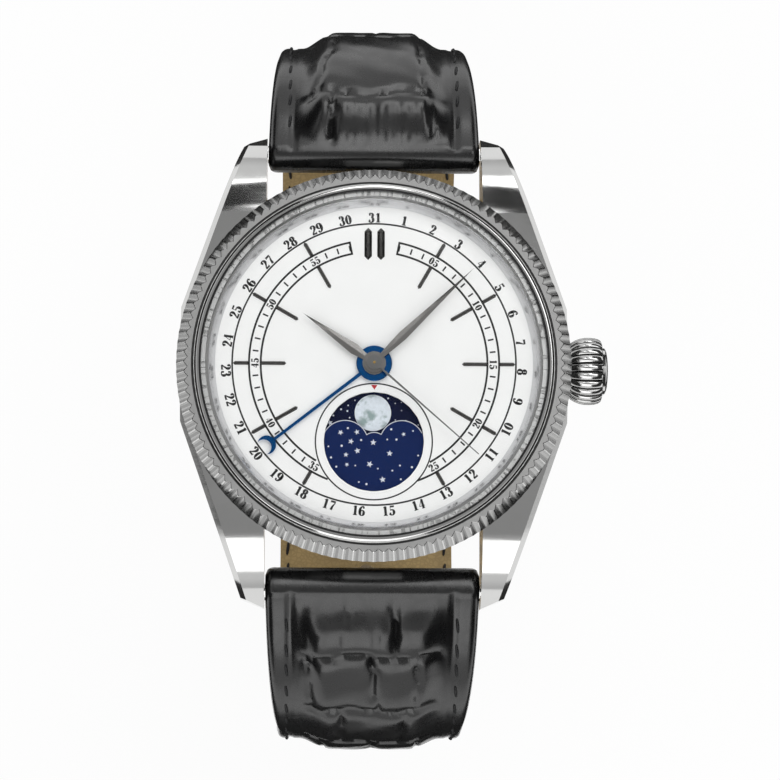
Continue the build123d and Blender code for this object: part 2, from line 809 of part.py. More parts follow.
def pallet_fork():
    """Lever with two pallet arms and a forked tail, drawn along +X and turned to the balance."""
    reach = math.dist(fork_centre, balance_centre) - roller_orbit - 2 * running_gap
    stone_x = fork_distance - escape_radius - running_gap
    half = pivot_radius * 2
    stone_y = escape_radius * stone_spread_share
    lever = Polyline((-stone_x, stone_y), (-stone_x + 2 * half, stone_y + half), (half, 2 * half),
                     (reach - 3 * half, half), (reach, 2 * half), (reach - half, 0), (reach, -2 * half),
                     (reach - 3 * half, -half), (half, -2 * half), (-stone_x + 2 * half, -stone_y - half),
                     (-stone_x, -stone_y), (0, 0), close=True)
    body = extrude(make_face(lever), gear_thickness)
    body = Pos(fork_centre[0], fork_centre[1], escape_wheel_z) * (Rot(0, 0, fork_angle) * body)
    return body + disc(pivot_radius, fork_bridge_z + part_gap, plate_z + jewel_thickness, fork_centre)


def balance_wheel():
    """Screwed balance: rim, two arms, timing screws, staff and roller with its pin."""
    low, high = balance_z, balance_z + balance_rim_height
    x, y = balance_centre
    wheel = ring(balance_radius, balance_radius - balance_rim_width, low, high)
    arm = balance_radius - balance_rim_width / 2
    half_arm = balance_arm_width / 2
    wheel += box_between((-arm, -half_arm, low), (arm, half_arm, low + gear_thickness))
    for index in range(balance_screw_count):
        spot = at_angle(balance_radius - balance_rim_width / 2, (index + 1 / 2) * 360 / balance_screw_count)
        wheel += disc(pivot_radius * 2, low - calendar_gap, low, spot)
    wheel += disc(2 * arbor_radius, low, escape_wheel_z)
    wheel += disc(roller_orbit + pivot_radius, escape_wheel_z - 2 * calendar_gap, escape_wheel_z - calendar_gap)
    pin_spot = at_angle(roller_orbit - pivot_radius, fork_angle + 180)
    wheel += disc(pivot_radius, escape_wheel_z - calendar_gap, escape_wheel_z + gear_thickness, pin_spot)
    wheel += disc(pivot_radius, cock_top_z - jewel_thickness, plate_z + jewel_thickness)
    return Pos(x, y, 0) * wheel


def least_turn_gap(inner_edges, outer_edges):
    """Least distance from the outer side of one half turn to the inner side of the next turn."""
    samples = 24
    gaps = []
    for outer, inner in zip(outer_edges, inner_edges[2:]):
        ours = [outer @ (step / samples) for step in range(samples + 1)]
        theirs = [inner @ (step / samples) for step in range(samples + 1)]
        gaps.append(min((a - b).length for a in ours for b in theirs))
    return round(min(gaps), 3)


def hairspring():
    """Flat spiral from the staff to a stud under the cock, as one unbroken ribbon."""
    half_turns = 2 * hairspring_turns
    edges = []
    inner_edges = []
    for index in range(half_turns):
        radius = hairspring_inner + index * hairspring_pitch / 2
        middle = -hairspring_pitch / 4 if index % 2 == 0 else hairspring_pitch / 4
        start = 0 if index % 2 == 0 else 180
        edges.append(CenterArc((middle, 0), radius + hairspring_width / 2, start, 180))
        inner_edges.append(CenterArc((middle, 0), radius - hairspring_width / 2, start, 180))
    first = Line(inner_edges[0] @ 0, edges[0] @ 0)
    last = Line(edges[-1] @ 1, inner_edges[-1] @ 1)
    ribbon = make_face(edges + inner_edges + [first, last])
    print("hairspring: least gap between turns", least_turn_gap(inner_edges, edges), "mm")
    spring = extrude(ribbon, hairspring_height)
    x, y = balance_centre
    collet = ring(hairspring_inner - hairspring_pitch / 4, pivot_radius + running_gap / 2, 0, hairspring_height)
    return Pos(x, y, hairspring_z) * (spring + collet)


def balance_cock():
    """Arm that carries the balance from the edge of the plate."""
    x, y = balance_centre
    outward = math.degrees(math.atan2(y, x))
    length = bridge_radius - balance_distance
    width = 2 * jewel_radius + 4 * arbor_radius
    arm = box_between((0, -width / 2, bridge_z), (length, width / 2, cock_top_z))
    arm += disc(width / 2, bridge_z, cock_top_z)
    foot_start = movement_window_radius + part_gap
    foot = box_between((foot_start, -width, bridge_z), (length, width, plate_z))
    cock = Rot(0, 0, outward) * (arm + foot)
    cock = Pos(x, y, 0) * cock & disc(pillar_inner_radius - part_gap, bridge_z, plate_z)
    return cock - disc(jewel_radius, bridge_z - cut_overrun, bridge_z + jewel_thickness, balance_centre) \
        - bore(pivot_radius + running_gap / 2, bridge_z, cock_top_z + cut_overrun, balance_centre)


def train_bridge():
    """Main bridge over barrel and train, open over the balance and the winding pinion."""
    plate = disc(bridge_radius, bridge_z, bridge_top_z)
    plate -= disc(movement_window_radius, 0, plate_z, balance_centre)
    x, y = balance_centre
    outward = math.degrees(math.atan2(y, x))
    opening = box_between((0, -movement_window_radius, 0), (bridge_radius, movement_window_radius, plate_z))
    plate -= Pos(x, y, 0) * (Rot(0, 0, outward) * opening)
    plate -= winding_space()
    plate -= bore(2 * arbor_radius + running_gap, 0, plate_z, barrel_centre)
    for spot in (third_centre, great_centre, escape_centre, (0, 0)):
        plate -= disc(jewel_radius, bridge_z - cut_overrun, bridge_z + jewel_thickness, spot)
        plate -= bore(seconds_arbor_radius + running_gap, bridge_z, plate_z, spot)
    plate += disc(rotor_bearing_radius, rotor_z - part_gap, bridge_z)
    plate += crown_wheel_post()
    return plate


def winding_space():
    """Room for the winding pinion and clutch under the bridge."""
    gap = 2 * running_gap
    start = stem_inner_x - gap
    end = winding_pinion_start + winding_pinion_length + gap
    slot = box_between((winding_pinion_start - gap, -winding_pinion_radius - gap, 0),
                       (end, winding_pinion_radius + gap, plate_z + part_gap))
    slot += box_between((start, -clutch_radius - gap, stem_z - clutch_radius - gap),
                        (end, clutch_radius + gap, plate_z + part_gap))
    slot += along_x(stem_radius + running_gap, start, bezel_radius, 0, stem_z)
    return slot


def crown_wheel_post():
    """Core that the crown wheel turns on."""
    return disc(2 * stem_radius, winding_wheel_z, bridge_z, crown_wheel_centre)


def main_plate():
    """Plate with a pillar rim, the moon post and a bore for the centre pipe."""
    plate = disc(plate_radius, plate_z, plate_top_z)
    pillars = ring(plate_radius, pillar_inner_radius, bridge_top_z, plate_z)
    plate += pillars
    plate += disc(moon_post_radius, plate_top_z, moon_disc_z + moon_disc_thickness / 3, (0, window_y))
    plate += disc(moon_hub_radius, plate_top_z, moon_disc_z - 2 * calendar_gap - gear_thickness, (0, window_y))
    plate += disc(2 * arbor_radius, plate_top_z, minute_wheel_z + gear_thickness / 2, minute_wheel_centre)
    plate -= bore(centre_pipe_radius + running_gap, plate_z - cut_overrun, plate_top_z + cut_overrun)
    plate -= winding_space()
    for spot in (third_centre, great_centre, escape_centre, fork_centre, balance_centre, barrel_centre):
        hole = 2 * arbor_radius if spot == barrel_centre else pivot_radius
        hole_top = plate_z + jewel_thickness + part_gap
        plate -= bore(hole + running_gap / 2, plate_z - cut_overrun, hole_top, spot)
    return plate


def pallet_bridge():
    """Small bridge that holds the pallet fork's pivot between the balance and the fork."""
    width = 2 * arbor_radius
    length = fork_bridge_length / 2
    bridge = box_between((-width, -length, fork_bridge_z), (width, length, fork_bridge_z + 2 * calendar_gap))
    for side in (-1, 1):
        bridge += disc(width, fork_bridge_z, plate_z, (0, side * length))
    bridge -= bore(pivot_radius + running_gap / 2, 0, fork_bridge_z + cut_overrun)
    return Pos(fork_centre[0], fork_centre[1], 0) * (Rot(0, 0, fork_angle) * bridge)


def jewels():
    """Ruby bearings seen from the back."""
    spots = (third_centre, great_centre, escape_centre, balance_centre)
    return [disc(jewel_radius, bridge_z, bridge_z + jewel_thickness, spot) for spot in spots]


def ratchet_wheel():
    """Wheel on the barrel arbor that winds the mainspring."""
    wheel = gear(ratchet_teeth, ratchet_pitch, winding_module, ratchet_angle, winding_wheel_z,
                 winding_wheel_thickness, barrel_centre)
    return wheel - disc(2 * arbor_radius, 0, plate_z, barrel_centre)


def crown_wheel():
    """Wheel that the winding pinion turns."""
    wheel = gear(crown_wheel_teeth, crown_wheel_pitch, winding_module, crown_wheel_angle, winding_wheel_z,
                 winding_wheel_thickness, crown_wheel_centre)
    return wheel - bore(2 * stem_radius + running_gap, 0, plate_z, crown_wheel_centre)


def star_along_x(teeth, radius, depth, start, end, bore):
    """A toothed barrel along X with a round bore."""
    outline = gear_outline(teeth, radius, radius - depth, 0)
    shape = Pos(start, 0, stem_z) * (Rot(0, 90, 0) * extrude(outline, end - start))
    return shape - along_x(bore, start - cut_overrun, end + cut_overrun, 0, stem_z)


def winding_pinion():
    """Pinion that stays in place on the stem."""
    return star_along_x(winding_teeth, winding_pinion_radius, stem_radius / 2, winding_pinion_start,
                        winding_pinion_start + winding_pinion_length, stem_radius + running_gap)


def clutch_wheel():
    """Sliding pinion beside the winding pinion."""
    end = winding_pinion_start - 2 * running_gap
    return star_along_x(winding_teeth, clutch_radius, stem_radius / 4, end - clutch_length, end,
                        stem_radius + running_gap / 2)


def winding_stem():
    """Stem with the groove of the setting lever, screwed into the crown."""
    end = crown_start_x + crown_recess_depth
    stem = along_x(stem_radius, stem_inner_x, end, 0, stem_z)
    groove_start = winding_pinion_start + winding_pinion_length + crown_travel
    groove = ring(stem_radius + cut_overrun, stem_radius * stem_groove_share, 0, stem_radius)
    return stem - Pos(groove_start, 0, stem_z) * (Rot(0, 90, 0) * groove)


def crown_tube():
    """Tube pressed into the case, that the stem runs through."""
    inner_x = case_bore_radius - 2 * part_gap
    tube = along_x(tube_radius, inner_x, tube_end_x, 0, stem_z)
    return tube - along_x(tube_bore_radius, 0, bezel_diameter, 0, stem_z)


def crown_outline(radius, height):
    """Lobed outline of the crown at one height along its axis."""
    points = []
    for index in range(crown_lobes):
        for turn_share, depth_share in lobe_shares:
            angle = (index + turn_share) * 360 / crown_lobes
            points.append(at_angle(radius - crown_lobe_depth * depth_share, angle))
    return Pos(0, 0, height) * make_face(Polyline(*points, close=True))


def crown():
    """Barrel crown with rounded lobes and a bare domed cap."""
    length = crown_end_x - crown_start_x
    cap = crown_cap_x - crown_start_x
    levels = [(crown_foot_radius, 0), (crown_radius, length * crown_widest_share),
              (crown_radius, length * crown_edge_share), (crown_shoulder_radius, length)]
    knob = loft([crown_outline(radius, height) for radius, height in levels], ruled=True)
    rim = (crown_cap_radius, length + (cap - length) * crown_rim_share)
    knob += turned([(crown_cap_radius, length / 2)] + dome_levels(rim, cap, ring_steps))
    knob -= disc(crown_recess_radius, -cut_overrun, crown_recess_depth)
    return Pos(crown_start_x, 0, stem_z) * (Rot(0, 90, 0) * knob)


def crown_gasket():
    """Seal ring in the crown that runs on the tube."""
    end = crown_start_x + crown_gasket_length + part_gap
    seal = along_x(crown_recess_radius, end - crown_gasket_length, end, 0, stem_z)
    return seal - along_x(tube_radius + part_gap, 0, bezel_diameter, 0, stem_z)


def cannon_pinion():
    """Pipe of the minute hand, held on the centre pipe by friction."""
    pipe = disc(cannon_radius, minute_wheel_z, minute_hand_z + hand_thickness)
    pitch = motion_module * cannon_teeth / 2
    pipe += gear(cannon_teeth, pitch, motion_module, cannon_angle, minute_wheel_z, gear_thickness)
    return pipe - bore(cannon_bore, 0, second_hand_z)


def minute_wheel():
    """Wheel and pinion between cannon pinion and hour wheel."""
    pitch = motion_module * minute_wheel_teeth / 2
    wheel = gear(minute_wheel_teeth, pitch, motion_module, minute_wheel_angle, minute_wheel_z, gear_thickness,
                 minute_wheel_centre)
    wheel += gear(minute_pinion_teeth, motion_module * minute_pinion_teeth / 2, motion_module, minute_pinion_angle,
                  minute_wheel_z + gear_thickness, calendar_gap + gear_thickness, minute_wheel_centre)
    return wheel - bore(2 * arbor_radius + running_gap, 0, minute_wheel_z + gear_thickness, minute_wheel_centre)


def hour_wheel():
    """Wheel and pipe of the hour hand."""
    pitch = motion_module * hour_wheel_teeth / 2
    wheel = gear(hour_wheel_teeth, pitch, motion_module, hour_wheel_angle, hour_wheel_z, gear_thickness)
    wheel += disc(hour_pipe_radius, hour_wheel_z, hour_hand_z + hand_thickness)
    return wheel - bore(hour_pipe_bore, 0, second_hand_z)


def date_wheel():
    """Star wheel with one tooth a day and the pipe of the date hand."""
    outline = gear_outline(days_on_dial, date_star_radius, date_star_radius - date_star_depth, 90)
    wheel = Pos(0, 0, date_star_z) * extrude(outline, gear_thickness)
    wheel += disc(date_pipe_radius, date_star_z, date_hand_z + hand_thickness)
    return wheel - bore(date_pipe_bore, 0, second_hand_z)


def movement_holder():
    """Ring that centres the movement in the case."""
    outer = case_bore_radius - part_gap
    inner = plate_radius + part_gap
    holder = ring(outer, inner, back_thread_top + part_gap, plate_top_z)
    holder += ring(outer, holder_lip_radius, plate_top_z, dial_z)
    holder -= along_x(stem_radius + running_gap, 0, bezel_diameter, 0, stem_z)
    holder -= along_x(tube_radius + running_gap, case_bore_radius - 3 * part_gap, bezel_diameter, 0, stem_z)
    for side in (-1, 1):
        holder -= corrector_bore(side)
        low_x = min(0, side * bezel_radius)
        high_x = max(0, side * bezel_radius)
        reach = corrector_radius
        holder -= box_between((low_x, corrector_y - reach, corrector_z - reach),
                              (high_x, corrector_y + reach, corrector_z + reach))
    return holder


def rotor():
    """Half-round winding weight on its bearing."""
    web_top = rotor_z + rotor_thickness
    weight = disc(rotor_radius, rotor_z, web_top)
    weight += ring(rotor_radius, rotor_rim_inner, web_top, rotor_z + rotor_rim_height)
    weight -= box_between((-bezel_radius, 0, 0), (bezel_radius, bezel_radius, plate_z))
    for side in (-1, 1):
        slot = ring(rotor_rim_inner - rotor_slot_width / 2, rotor_hub_radius + rotor_slot_width, 0, plate_z)
        low_corner = (min(0, side * bezel_radius), -bezel_radius, 0)
        half = box_between(low_corner, (max(0, side * bezel_radius), 0, plate_z))
        slot &= half
        half_slot = rotor_slot_width / 2
        slot -= box_between((-half_slot, -bezel_radius, -cut_overrun), (half_slot, 0, plate_z))
        slot -= box_between((-bezel_radius, -rotor_slot_width / 2, -cut_overrun), (bezel_radius, 0, plate_z))
        weight -= slot
    weight += disc(rotor_hub_radius, rotor_z, web_top)
    weight -= bore(rotor_bearing_radius + running_gap, 0, plate_z)
    return Rot(0, 0, rotor_rest_angle) * weight


def case_back():
    """Screw-in back ring with key notches and a ledge for its window."""
    ledge_low = back_glass_thickness
    ledge_high = ledge_low + back_ledge_thickness
    body = disc(back_flange_radius, 0, back_flange_height)
    body += disc(back_thread_radius, back_flange_height, back_thread_top)
    body -= disc(back_ring_inner, ledge_high, bezel_seat_z)
    body -= disc(back_ledge_radius, 0, bezel_seat_z)
    body -= disc(back_window_radius, -cut_overrun, ledge_low)
    for index in range(back_notch_count):
        notch = box_between((back_flange_radius - back_notch_radial, -back_notch_width / 2, -cut_overrun),
                            (back_flange_radius + cut_overrun, back_notch_width / 2, back_notch_depth))
        body -= Rot(0, 0, (index + 1 / 2) * 360 / back_notch_count) * notch
    gasket_inner = back_thread_radius + part_gap
    body -= ring(gasket_inner + back_gasket_width, gasket_inner, back_flange_height - back_gasket_height,
                 back_flange_height + cut_overrun / 4)
    return body


def back_gasket():
    """Seal between case back and case."""
    inner = back_thread_radius + part_gap
    return ring(inner + back_gasket_width, inner, back_flange_height - back_gasket_height, back_flange_height)


def back_glass():
    """Flat window of the case back, flush with its outer face."""
    return disc(back_window_radius, 0, back_glass_thickness)


def spring_bars():
    """Two sprung bars between the lugs."""
    bars = []
    half = lug_gap / 2
    for side in (-1, 1):
        bar = along_x(bar_radius, -half + part_gap, half - part_gap, side * bar_y, bar_z)
        bar += along_x(bar_pin_radius, -half - bar_pin_depth, half + bar_pin_depth, side * bar_y, bar_z)
        bars.append(bar)
    return bars


def path_points(moves, offset):
    """Points of the strap path shifted outwards by offset, from the spring bar on.

    The path lies in Y and Z. A move is a length or a (radius, angle) turn, clockwise when positive.
    """
    y, z = bar_y, bar_z
    heading = start_heading
    normal = math.radians(heading + 90)
    points = [(y + offset * math.cos(normal), z + offset * math.sin(normal))]
    for move in moves:
        normal = math.radians(heading + 90)
        if isinstance(move, tuple):
            radius, turn = move
            sign = 1 if turn > 0 else -1
            centre = (y - sign * radius * math.cos(normal), z - sign * radius * math.sin(normal))
            reach = sign * radius + offset
            steps = math.ceil(abs(turn) / strap_bend_step)
            for step in range(1, steps + 1):
                direction = math.radians(heading + 90 - turn * step / steps)
                across = reach * math.cos(direction)
                points.append((centre[0] + across, centre[1] + reach * math.sin(direction)))
            heading -= turn
            y = centre[0] + sign * radius * math.cos(direction)
            z = centre[1] + sign * radius * math.sin(direction)
        else:
            y += move * math.cos(math.radians(heading))
            z += move * math.sin(math.radians(heading))
            points.append((y + offset * math.cos(normal), z + offset * math.sin(normal)))
    return points


def band(moves, low_offset, high_offset, width):
    """A layer of the strap between two offsets of the path, run across its width."""
    inner = path_points(moves, low_offset)
    outer = path_points(moves, high_offset)
    face = make_face(Polyline(*inner, *reversed(outer), close=True))
    return extrude(Plane.YZ * face, width / 2, both=True)


def strap_taper():
    """Front outline that narrows the strap from the lugs towards the buckle."""
    wide, slim = strap_half_width, strap_buckle_width / 2
    low = strap_bottom_z - 4 * leather_outer - tail_shift
    points = [(wide, bezel_seat_z), (wide, bar_z), (slim, strap_taper_z), (slim, low),
              (-slim, low), (-slim, strap_taper_z), (-wide, bar_z), (-wide, bezel_seat_z)]
    return extrude(Plane.XZ * make_face(Polyline(*points, close=True)), 3 * strap_side_y / 2, both=True)


def upper_moves():
    """Both strap halves start the same way: over the wrist's side and under it."""
    return [(strap_side_radius, strap_side_angle), (strap_under_radius, 90)]


def padded_leather(moves):
    """Outer leather with its raised padded middle, rolled round the spring bar."""
    leather = band(moves, -leather_inner, leather_outer, strap_width)
    pad_moves = [(strap_side_radius, strap_side_angle), (strap_under_radius, pad_under_angle)]
    leather += band(pad_moves, 0, leather_outer + pad_rise, pad_width)
    leather += along_x(strap_roll_radius, -strap_half_width, strap_half_width, bar_y, bar_z)
    leather &= strap_taper()
    return leather - along_x(bar_radius + part_gap, -strap_width, strap_width, bar_y, bar_z)


def lining_layer(moves):
    """Tan lining under the leather, ended before the roll at the spring bar."""
    layer = band(moves, -lining_inner, -leather_inner, strap_width) & strap_taper()
    return layer - along_x(strap_roll_radius, -strap_width, strap_width, bar_y, bar_z)


def short_moves():
    """Path of the 12 o'clock half up to the buckle bar."""
    return upper_moves() + [strap_under_y - heel_bar_y]


def long_moves():
    """Path of the 6 o'clock half: through the buckle and outside the other half."""
    rise = 2 * tail_bend_radius * (1 - math.cos(math.radians(tail_bend_angle)))
    slope = (tail_shift - rise) / math.sin(math.radians(tail_bend_angle))
    run = 2 * tail_bend_radius * math.sin(math.radians(tail_bend_angle)) \
        + slope * math.cos(math.radians(tail_bend_angle))
    rest = 2 * strap_under_y - run
    return upper_moves() + [(tail_bend_radius, -tail_bend_angle), slope, (tail_bend_radius, tail_bend_angle),
                            rest, (strap_under_radius + tail_shift, tail_wrap_angle)]


def heel_cut(radius):
    """Space round the buckle bar, across the strap."""
    return along_x(radius, -strap_width, strap_width, heel_bar_y, strap_bottom_z)


def strap_short():
    """12 o'clock half of the strap, looped round the buckle bar."""
    leather = padded_leather(short_moves())
    loop_half = strap_buckle_width / 2
    leather += along_x(heel_loop_radius, -loop_half, loop_half, heel_bar_y, strap_bottom_z)
    leather -= heel_cut(heel_bar_radius + part_gap)
    slot = tongue_width / 2 + 3 * part_gap
    room = tongue_hub_radius + 5 * part_gap
    return leather - box_between((-slot, heel_bar_y - 2 * room, strap_bottom_z - 2 * room),
                                 (slot, heel_bar_y + room, strap_bottom_z + 2 * room))


def lining_short():
    """Lining of the 12 o'clock half, ended before the buckle loop."""
    return lining_layer(short_moves()) - heel_cut(heel_loop_radius)


def strap_holes():
    """Adjusting holes and the slot that the tongue passes through."""
    cuts = box_between((-tongue_slot_width / 2, -tongue_slot_end, strap_bottom_z - 2 * strap_roll_radius - tail_shift),
                       (tongue_slot_width / 2, -tongue_slot_start, strap_bottom_z + 2 * strap_roll_radius))
    reach = strap_under_radius + tail_shift + 2 * leather_outer
    for index in range(hole_count_each_side):
        for side in (-1, 1):
            first = -90 + hole_pitch_angle * (index + 1 / 2) * side
            hole = extrude(round_face(hole_radius), reach)
            centre_y = strap_under_y if side > 0 else -strap_under_y
            y, z = at_angle(strap_under_radius / 2, first)
            hole = Pos(0, centre_y + y, strap_side_z + z) * (Rot(first - 90, 0, 0) * hole)
            cuts += hole
    return cuts


def tail_corners():
    """Corners cut off the tail so that it ends in a blunt point."""
    slim = strap_buckle_width / 2
    wide = slim + cut_overrun
    tip = tail_tip_width / 2
    outline = make_face(Polyline((slim, -tail_tip_length), (tip, 0), (tip, cut_overrun), (wide, cut_overrun),
                                 (wide, -tail_tip_length), close=True))
    corner = extrude(outline, 2 * tail_shift, both=True)
    direction = -90 - tail_wrap_angle
    y, z = at_angle(strap_under_radius + tail_shift, direction)
    corner = Pos(0, y - strap_under_y, z + strap_side_z) * (Rot(direction - 90, 0, 0) * corner)
    return corner + mirror(corner, Plane.YZ)


def strap_long():
    """6 o'clock half of the strap, drawn on the +Y side and mirrored."""
    leather = padded_leather(long_moves()) - strap_holes() - tail_corners()
    return mirror(leather, Plane.XZ)


def lining_long():
    """Lining of the 6 o'clock half."""
    layer = lining_layer(long_moves()) - strap_holes() - tail_corners()
    return mirror(layer, Plane.XZ)


def keeper(low_z, high_z):
    """Closed leather loop round a stretch of both halves, its width along Y."""
    half = strap_buckle_width / 2 + keeper_gap
    inner = box_between((-half, -keeper_width, low_z - keeper_gap), (half, keeper_width, high_z + keeper_gap))
    outer = box_between((-half - keeper_wall, -keeper_width / 2, low_z - keeper_gap - keeper_wall),
                        (half + keeper_wall, keeper_width / 2, high_z + keeper_gap + keeper_wall))
    return outer - inner


def fixed_keeper():
    """Keeper beside the buckle."""
    return Pos(0, fixed_keeper_y, strap_bottom_z) * keeper(-tail_shift - leather_outer, lining_inner)


def free_keeper():
    """Keeper that slides along the tail."""
    loop = keeper(-strap_under_radius - tail_shift - leather_outer, -strap_under_radius + lining_inner)
    return Pos(0, strap_under_y, strap_side_z) * (Rot(90 - free_keeper_angle, 0, 0) * loop)


def buckle_bar():
    """Sprung bar of the buckle."""
    half = frame_inner_width / 2 + frame_arm_width / 2
    return along_x(heel_bar_radius, -half, half, heel_bar_y, strap_bottom_z)


def buckle_frame():
    """Frame with a round front bar, two flat arms and ears on the buckle bar."""
    inner = frame_inner_width / 2
    outer = inner + frame_arm_width
    front = along_x(frame_bar_radius, -outer, outer)
    frame = Pos(0, -frame_length, 0) * front
    for side in (-1, 1):
        low, high = sorted((side * inner, side * outer))
        arm = box_between((low, -frame_length, -frame_bar_radius), (high, 0, frame_bar_radius))
        ear = along_x(ear_radius, low, high)
        frame += arm + ear
    frame -= along_x(heel_bar_radius + part_gap, -outer - cut_overrun, outer + cut_overrun)
    return Pos(0, heel_bar_y, strap_bottom_z) * (Rot(frame_tilt, 0, 0) * frame)


def buckle_tongue():
    """Tongue from the buckle bar, through the strap, to rest on the front bar."""
    half = tongue_width / 2
    reach = frame_length + tongue_overhang
    thick = tongue_thickness / 2
    tip_low = -frame_bar_radius - tongue_thickness
    shape = Polyline((0, thick), (-reach, tip_low + tongue_thickness), (-reach, tip_low), (0, -thick), close=True)
    blade = extrude(Plane.YZ * make_face(shape), half, both=True)
    blade += along_x(tongue_hub_radius, -half, half)
    blade -= along_x(heel_bar_radius + part_gap, -half - cut_overrun, half + cut_overrun)
    seat = along_x(frame_bar_radius + part_gap, -half - cut_overrun, half + cut_overrun)
    blade -= Pos(0, -frame_length, 0) * seat
    return Pos(0, heel_bar_y, strap_bottom_z) * (Rot(frame_tilt, 0, 0) * blade)


# Places and tooth angles of the train, from the centre outwards.
seconds_angle = 0.0
fourth_pinion_angle = 0.0
escape_pinion_angle = meshed_angle(seconds_teeth, seconds_angle, escape_pinion_teeth, escape_direction)
third_angle = meshed_angle(fourth_pinion_teeth, fourth_pinion_angle, third_teeth, third_direction)
third_pinion_angle = 0.0
centre_angle = meshed_angle(third_pinion_teeth, third_pinion_angle, centre_teeth, third_direction + 180)
great_angle = meshed_angle(third_pinion_teeth, third_pinion_angle, centre_teeth,
                           angle_between(third_centre, great_centre))
great_pinion_angle = 0.0
barrel_angle = meshed_angle(great_pinion_teeth, great_pinion_angle, barrel_teeth,
                            angle_between(great_centre, barrel_centre))
crown_wheel_centre = (crown_wheel_x, 0)
winding_distance = math.dist(crown_wheel_centre, barrel_centre)
ratchet_pitch, crown_wheel_pitch, winding_module = pitch_radii(winding_distance, ratchet_teeth, crown_wheel_teeth)
crown_wheel_angle = 0.0
ratchet_angle = meshed_angle(crown_wheel_teeth, crown_wheel_angle, ratchet_teeth,
                             angle_between(crown_wheel_centre, barrel_centre))
cannon_angle = 0.0
minute_wheel_angle = meshed_angle(cannon_teeth, cannon_angle, minute_wheel_teeth, minute_wheel_direction)
minute_pinion_angle = 0.0
hour_wheel_angle = meshed_angle(minute_pinion_teeth, minute_pinion_angle, hour_wheel_teeth,
                                minute_wheel_direction + 180)
fork_share = fork_distance / math.dist(escape_centre, balance_centre)
fork_centre = tuple(escape_centre[i] + fork_share * (balance_centre[i] - escape_centre[i]) for i in range(2))
fork_angle = angle_between(fork_centre, balance_centre)
roller_orbit = 3 * arbor_radius
fork_bridge_z = balance_z + balance_rim_height + calendar_gap
cock_top_z = hairspring_z - calendar_gap

# Strap path values that close the loop from the spring bar to its widest point.
side_run = strap_side_y - bar_y
side_fall = bar_z - strap_side_z
strap_side_radius = (side_run ** 2 + side_fall ** 2) / (2 * side_run)
strap_side_angle = math.degrees(math.atan2(side_fall, strap_side_radius - side_run))
start_heading = strap_side_angle - 90
frame_drop = leather_outer + frame_bar_radius + frame_clearance
frame_tilt = math.degrees(math.atan2(frame_drop, frame_length))


pieces = {
    "mid_case": mid_case,
    "bezel": bezel,
    "crystal": crystal,
    "crystal_gasket": crystal_gasket,
    "slope_ring": slope_ring,
    "dial": dial,
    "hour_marks": hour_marks,
    "moon_cover": moon_cover,
    "moon_disc": moon_disc,
    "hour_hand": hour_hand,
    "minute_hand": minute_hand,
    "second_hand": second_hand,
    "date_hand": date_hand,
    "seconds_wheel": seconds_wheel,
    "centre_wheel": centre_wheel,
    "third_wheel": third_wheel,
    "great_wheel": great_wheel,
    "barrel": barrel,
    "barrel_arbor": barrel_arbor,
    "escape_wheel": escape_wheel,
    "pallet_fork": pallet_fork,
    "pallet_bridge": pallet_bridge,
    "balance_wheel": balance_wheel,
    "hairspring": hairspring,
    "balance_cock": balance_cock,
    "train_bridge": train_bridge,
    "main_plate": main_plate,
    "jewels": jewels,
    "ratchet_wheel": ratchet_wheel,
    "crown_wheel": crown_wheel,
    "winding_pinion": winding_pinion,
    "clutch_wheel": clutch_wheel,
    "winding_stem": winding_stem,
    "crown_tube": crown_tube,
    "crown": crown,
    "crown_gasket": crown_gasket,
    "cannon_pinion": cannon_pinion,
    "minute_wheel": minute_wheel,
    "hour_wheel": hour_wheel,
    "date_wheel": date_wheel,
    "movement_holder": movement_holder,
    "rotor": rotor,
    "case_back": case_back,
    "back_gasket": back_gasket,
    "back_glass": back_glass,
    "moon_corrector": lambda: corrector(-1),
    "date_corrector": lambda: corrector(1),
    "spring_bars": spring_bars,
    "strap_short": strap_short,
    "lining_short": lining_short,
    "strap_long": strap_long,
    "lining_long": lining_long,
    "fixed_keeper": fixed_keeper,
    "free_keeper": free_keeper,
    "buckle_bar": buckle_bar,
    "buckle_frame": buckle_frame,
    "buckle_tongue": buckle_tongue,
}

os.makedirs("parts", exist_ok=True)
for name, make in pieces.items():
    made = make()
    solids = [solid for shape in made for solid in shape.solids()] if isinstance(made, list) else made.solids()
    export_step(Compound(solids), "parts/" + name + ".step")
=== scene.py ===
"""Looks of a moon phase wristwatch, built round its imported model.

The file is laid out as a Blender add-on and runs as a script. Points are worked out in millimetres.
"""
import math
import random

import bmesh
import bpy
from mathutils import Matrix, Vector


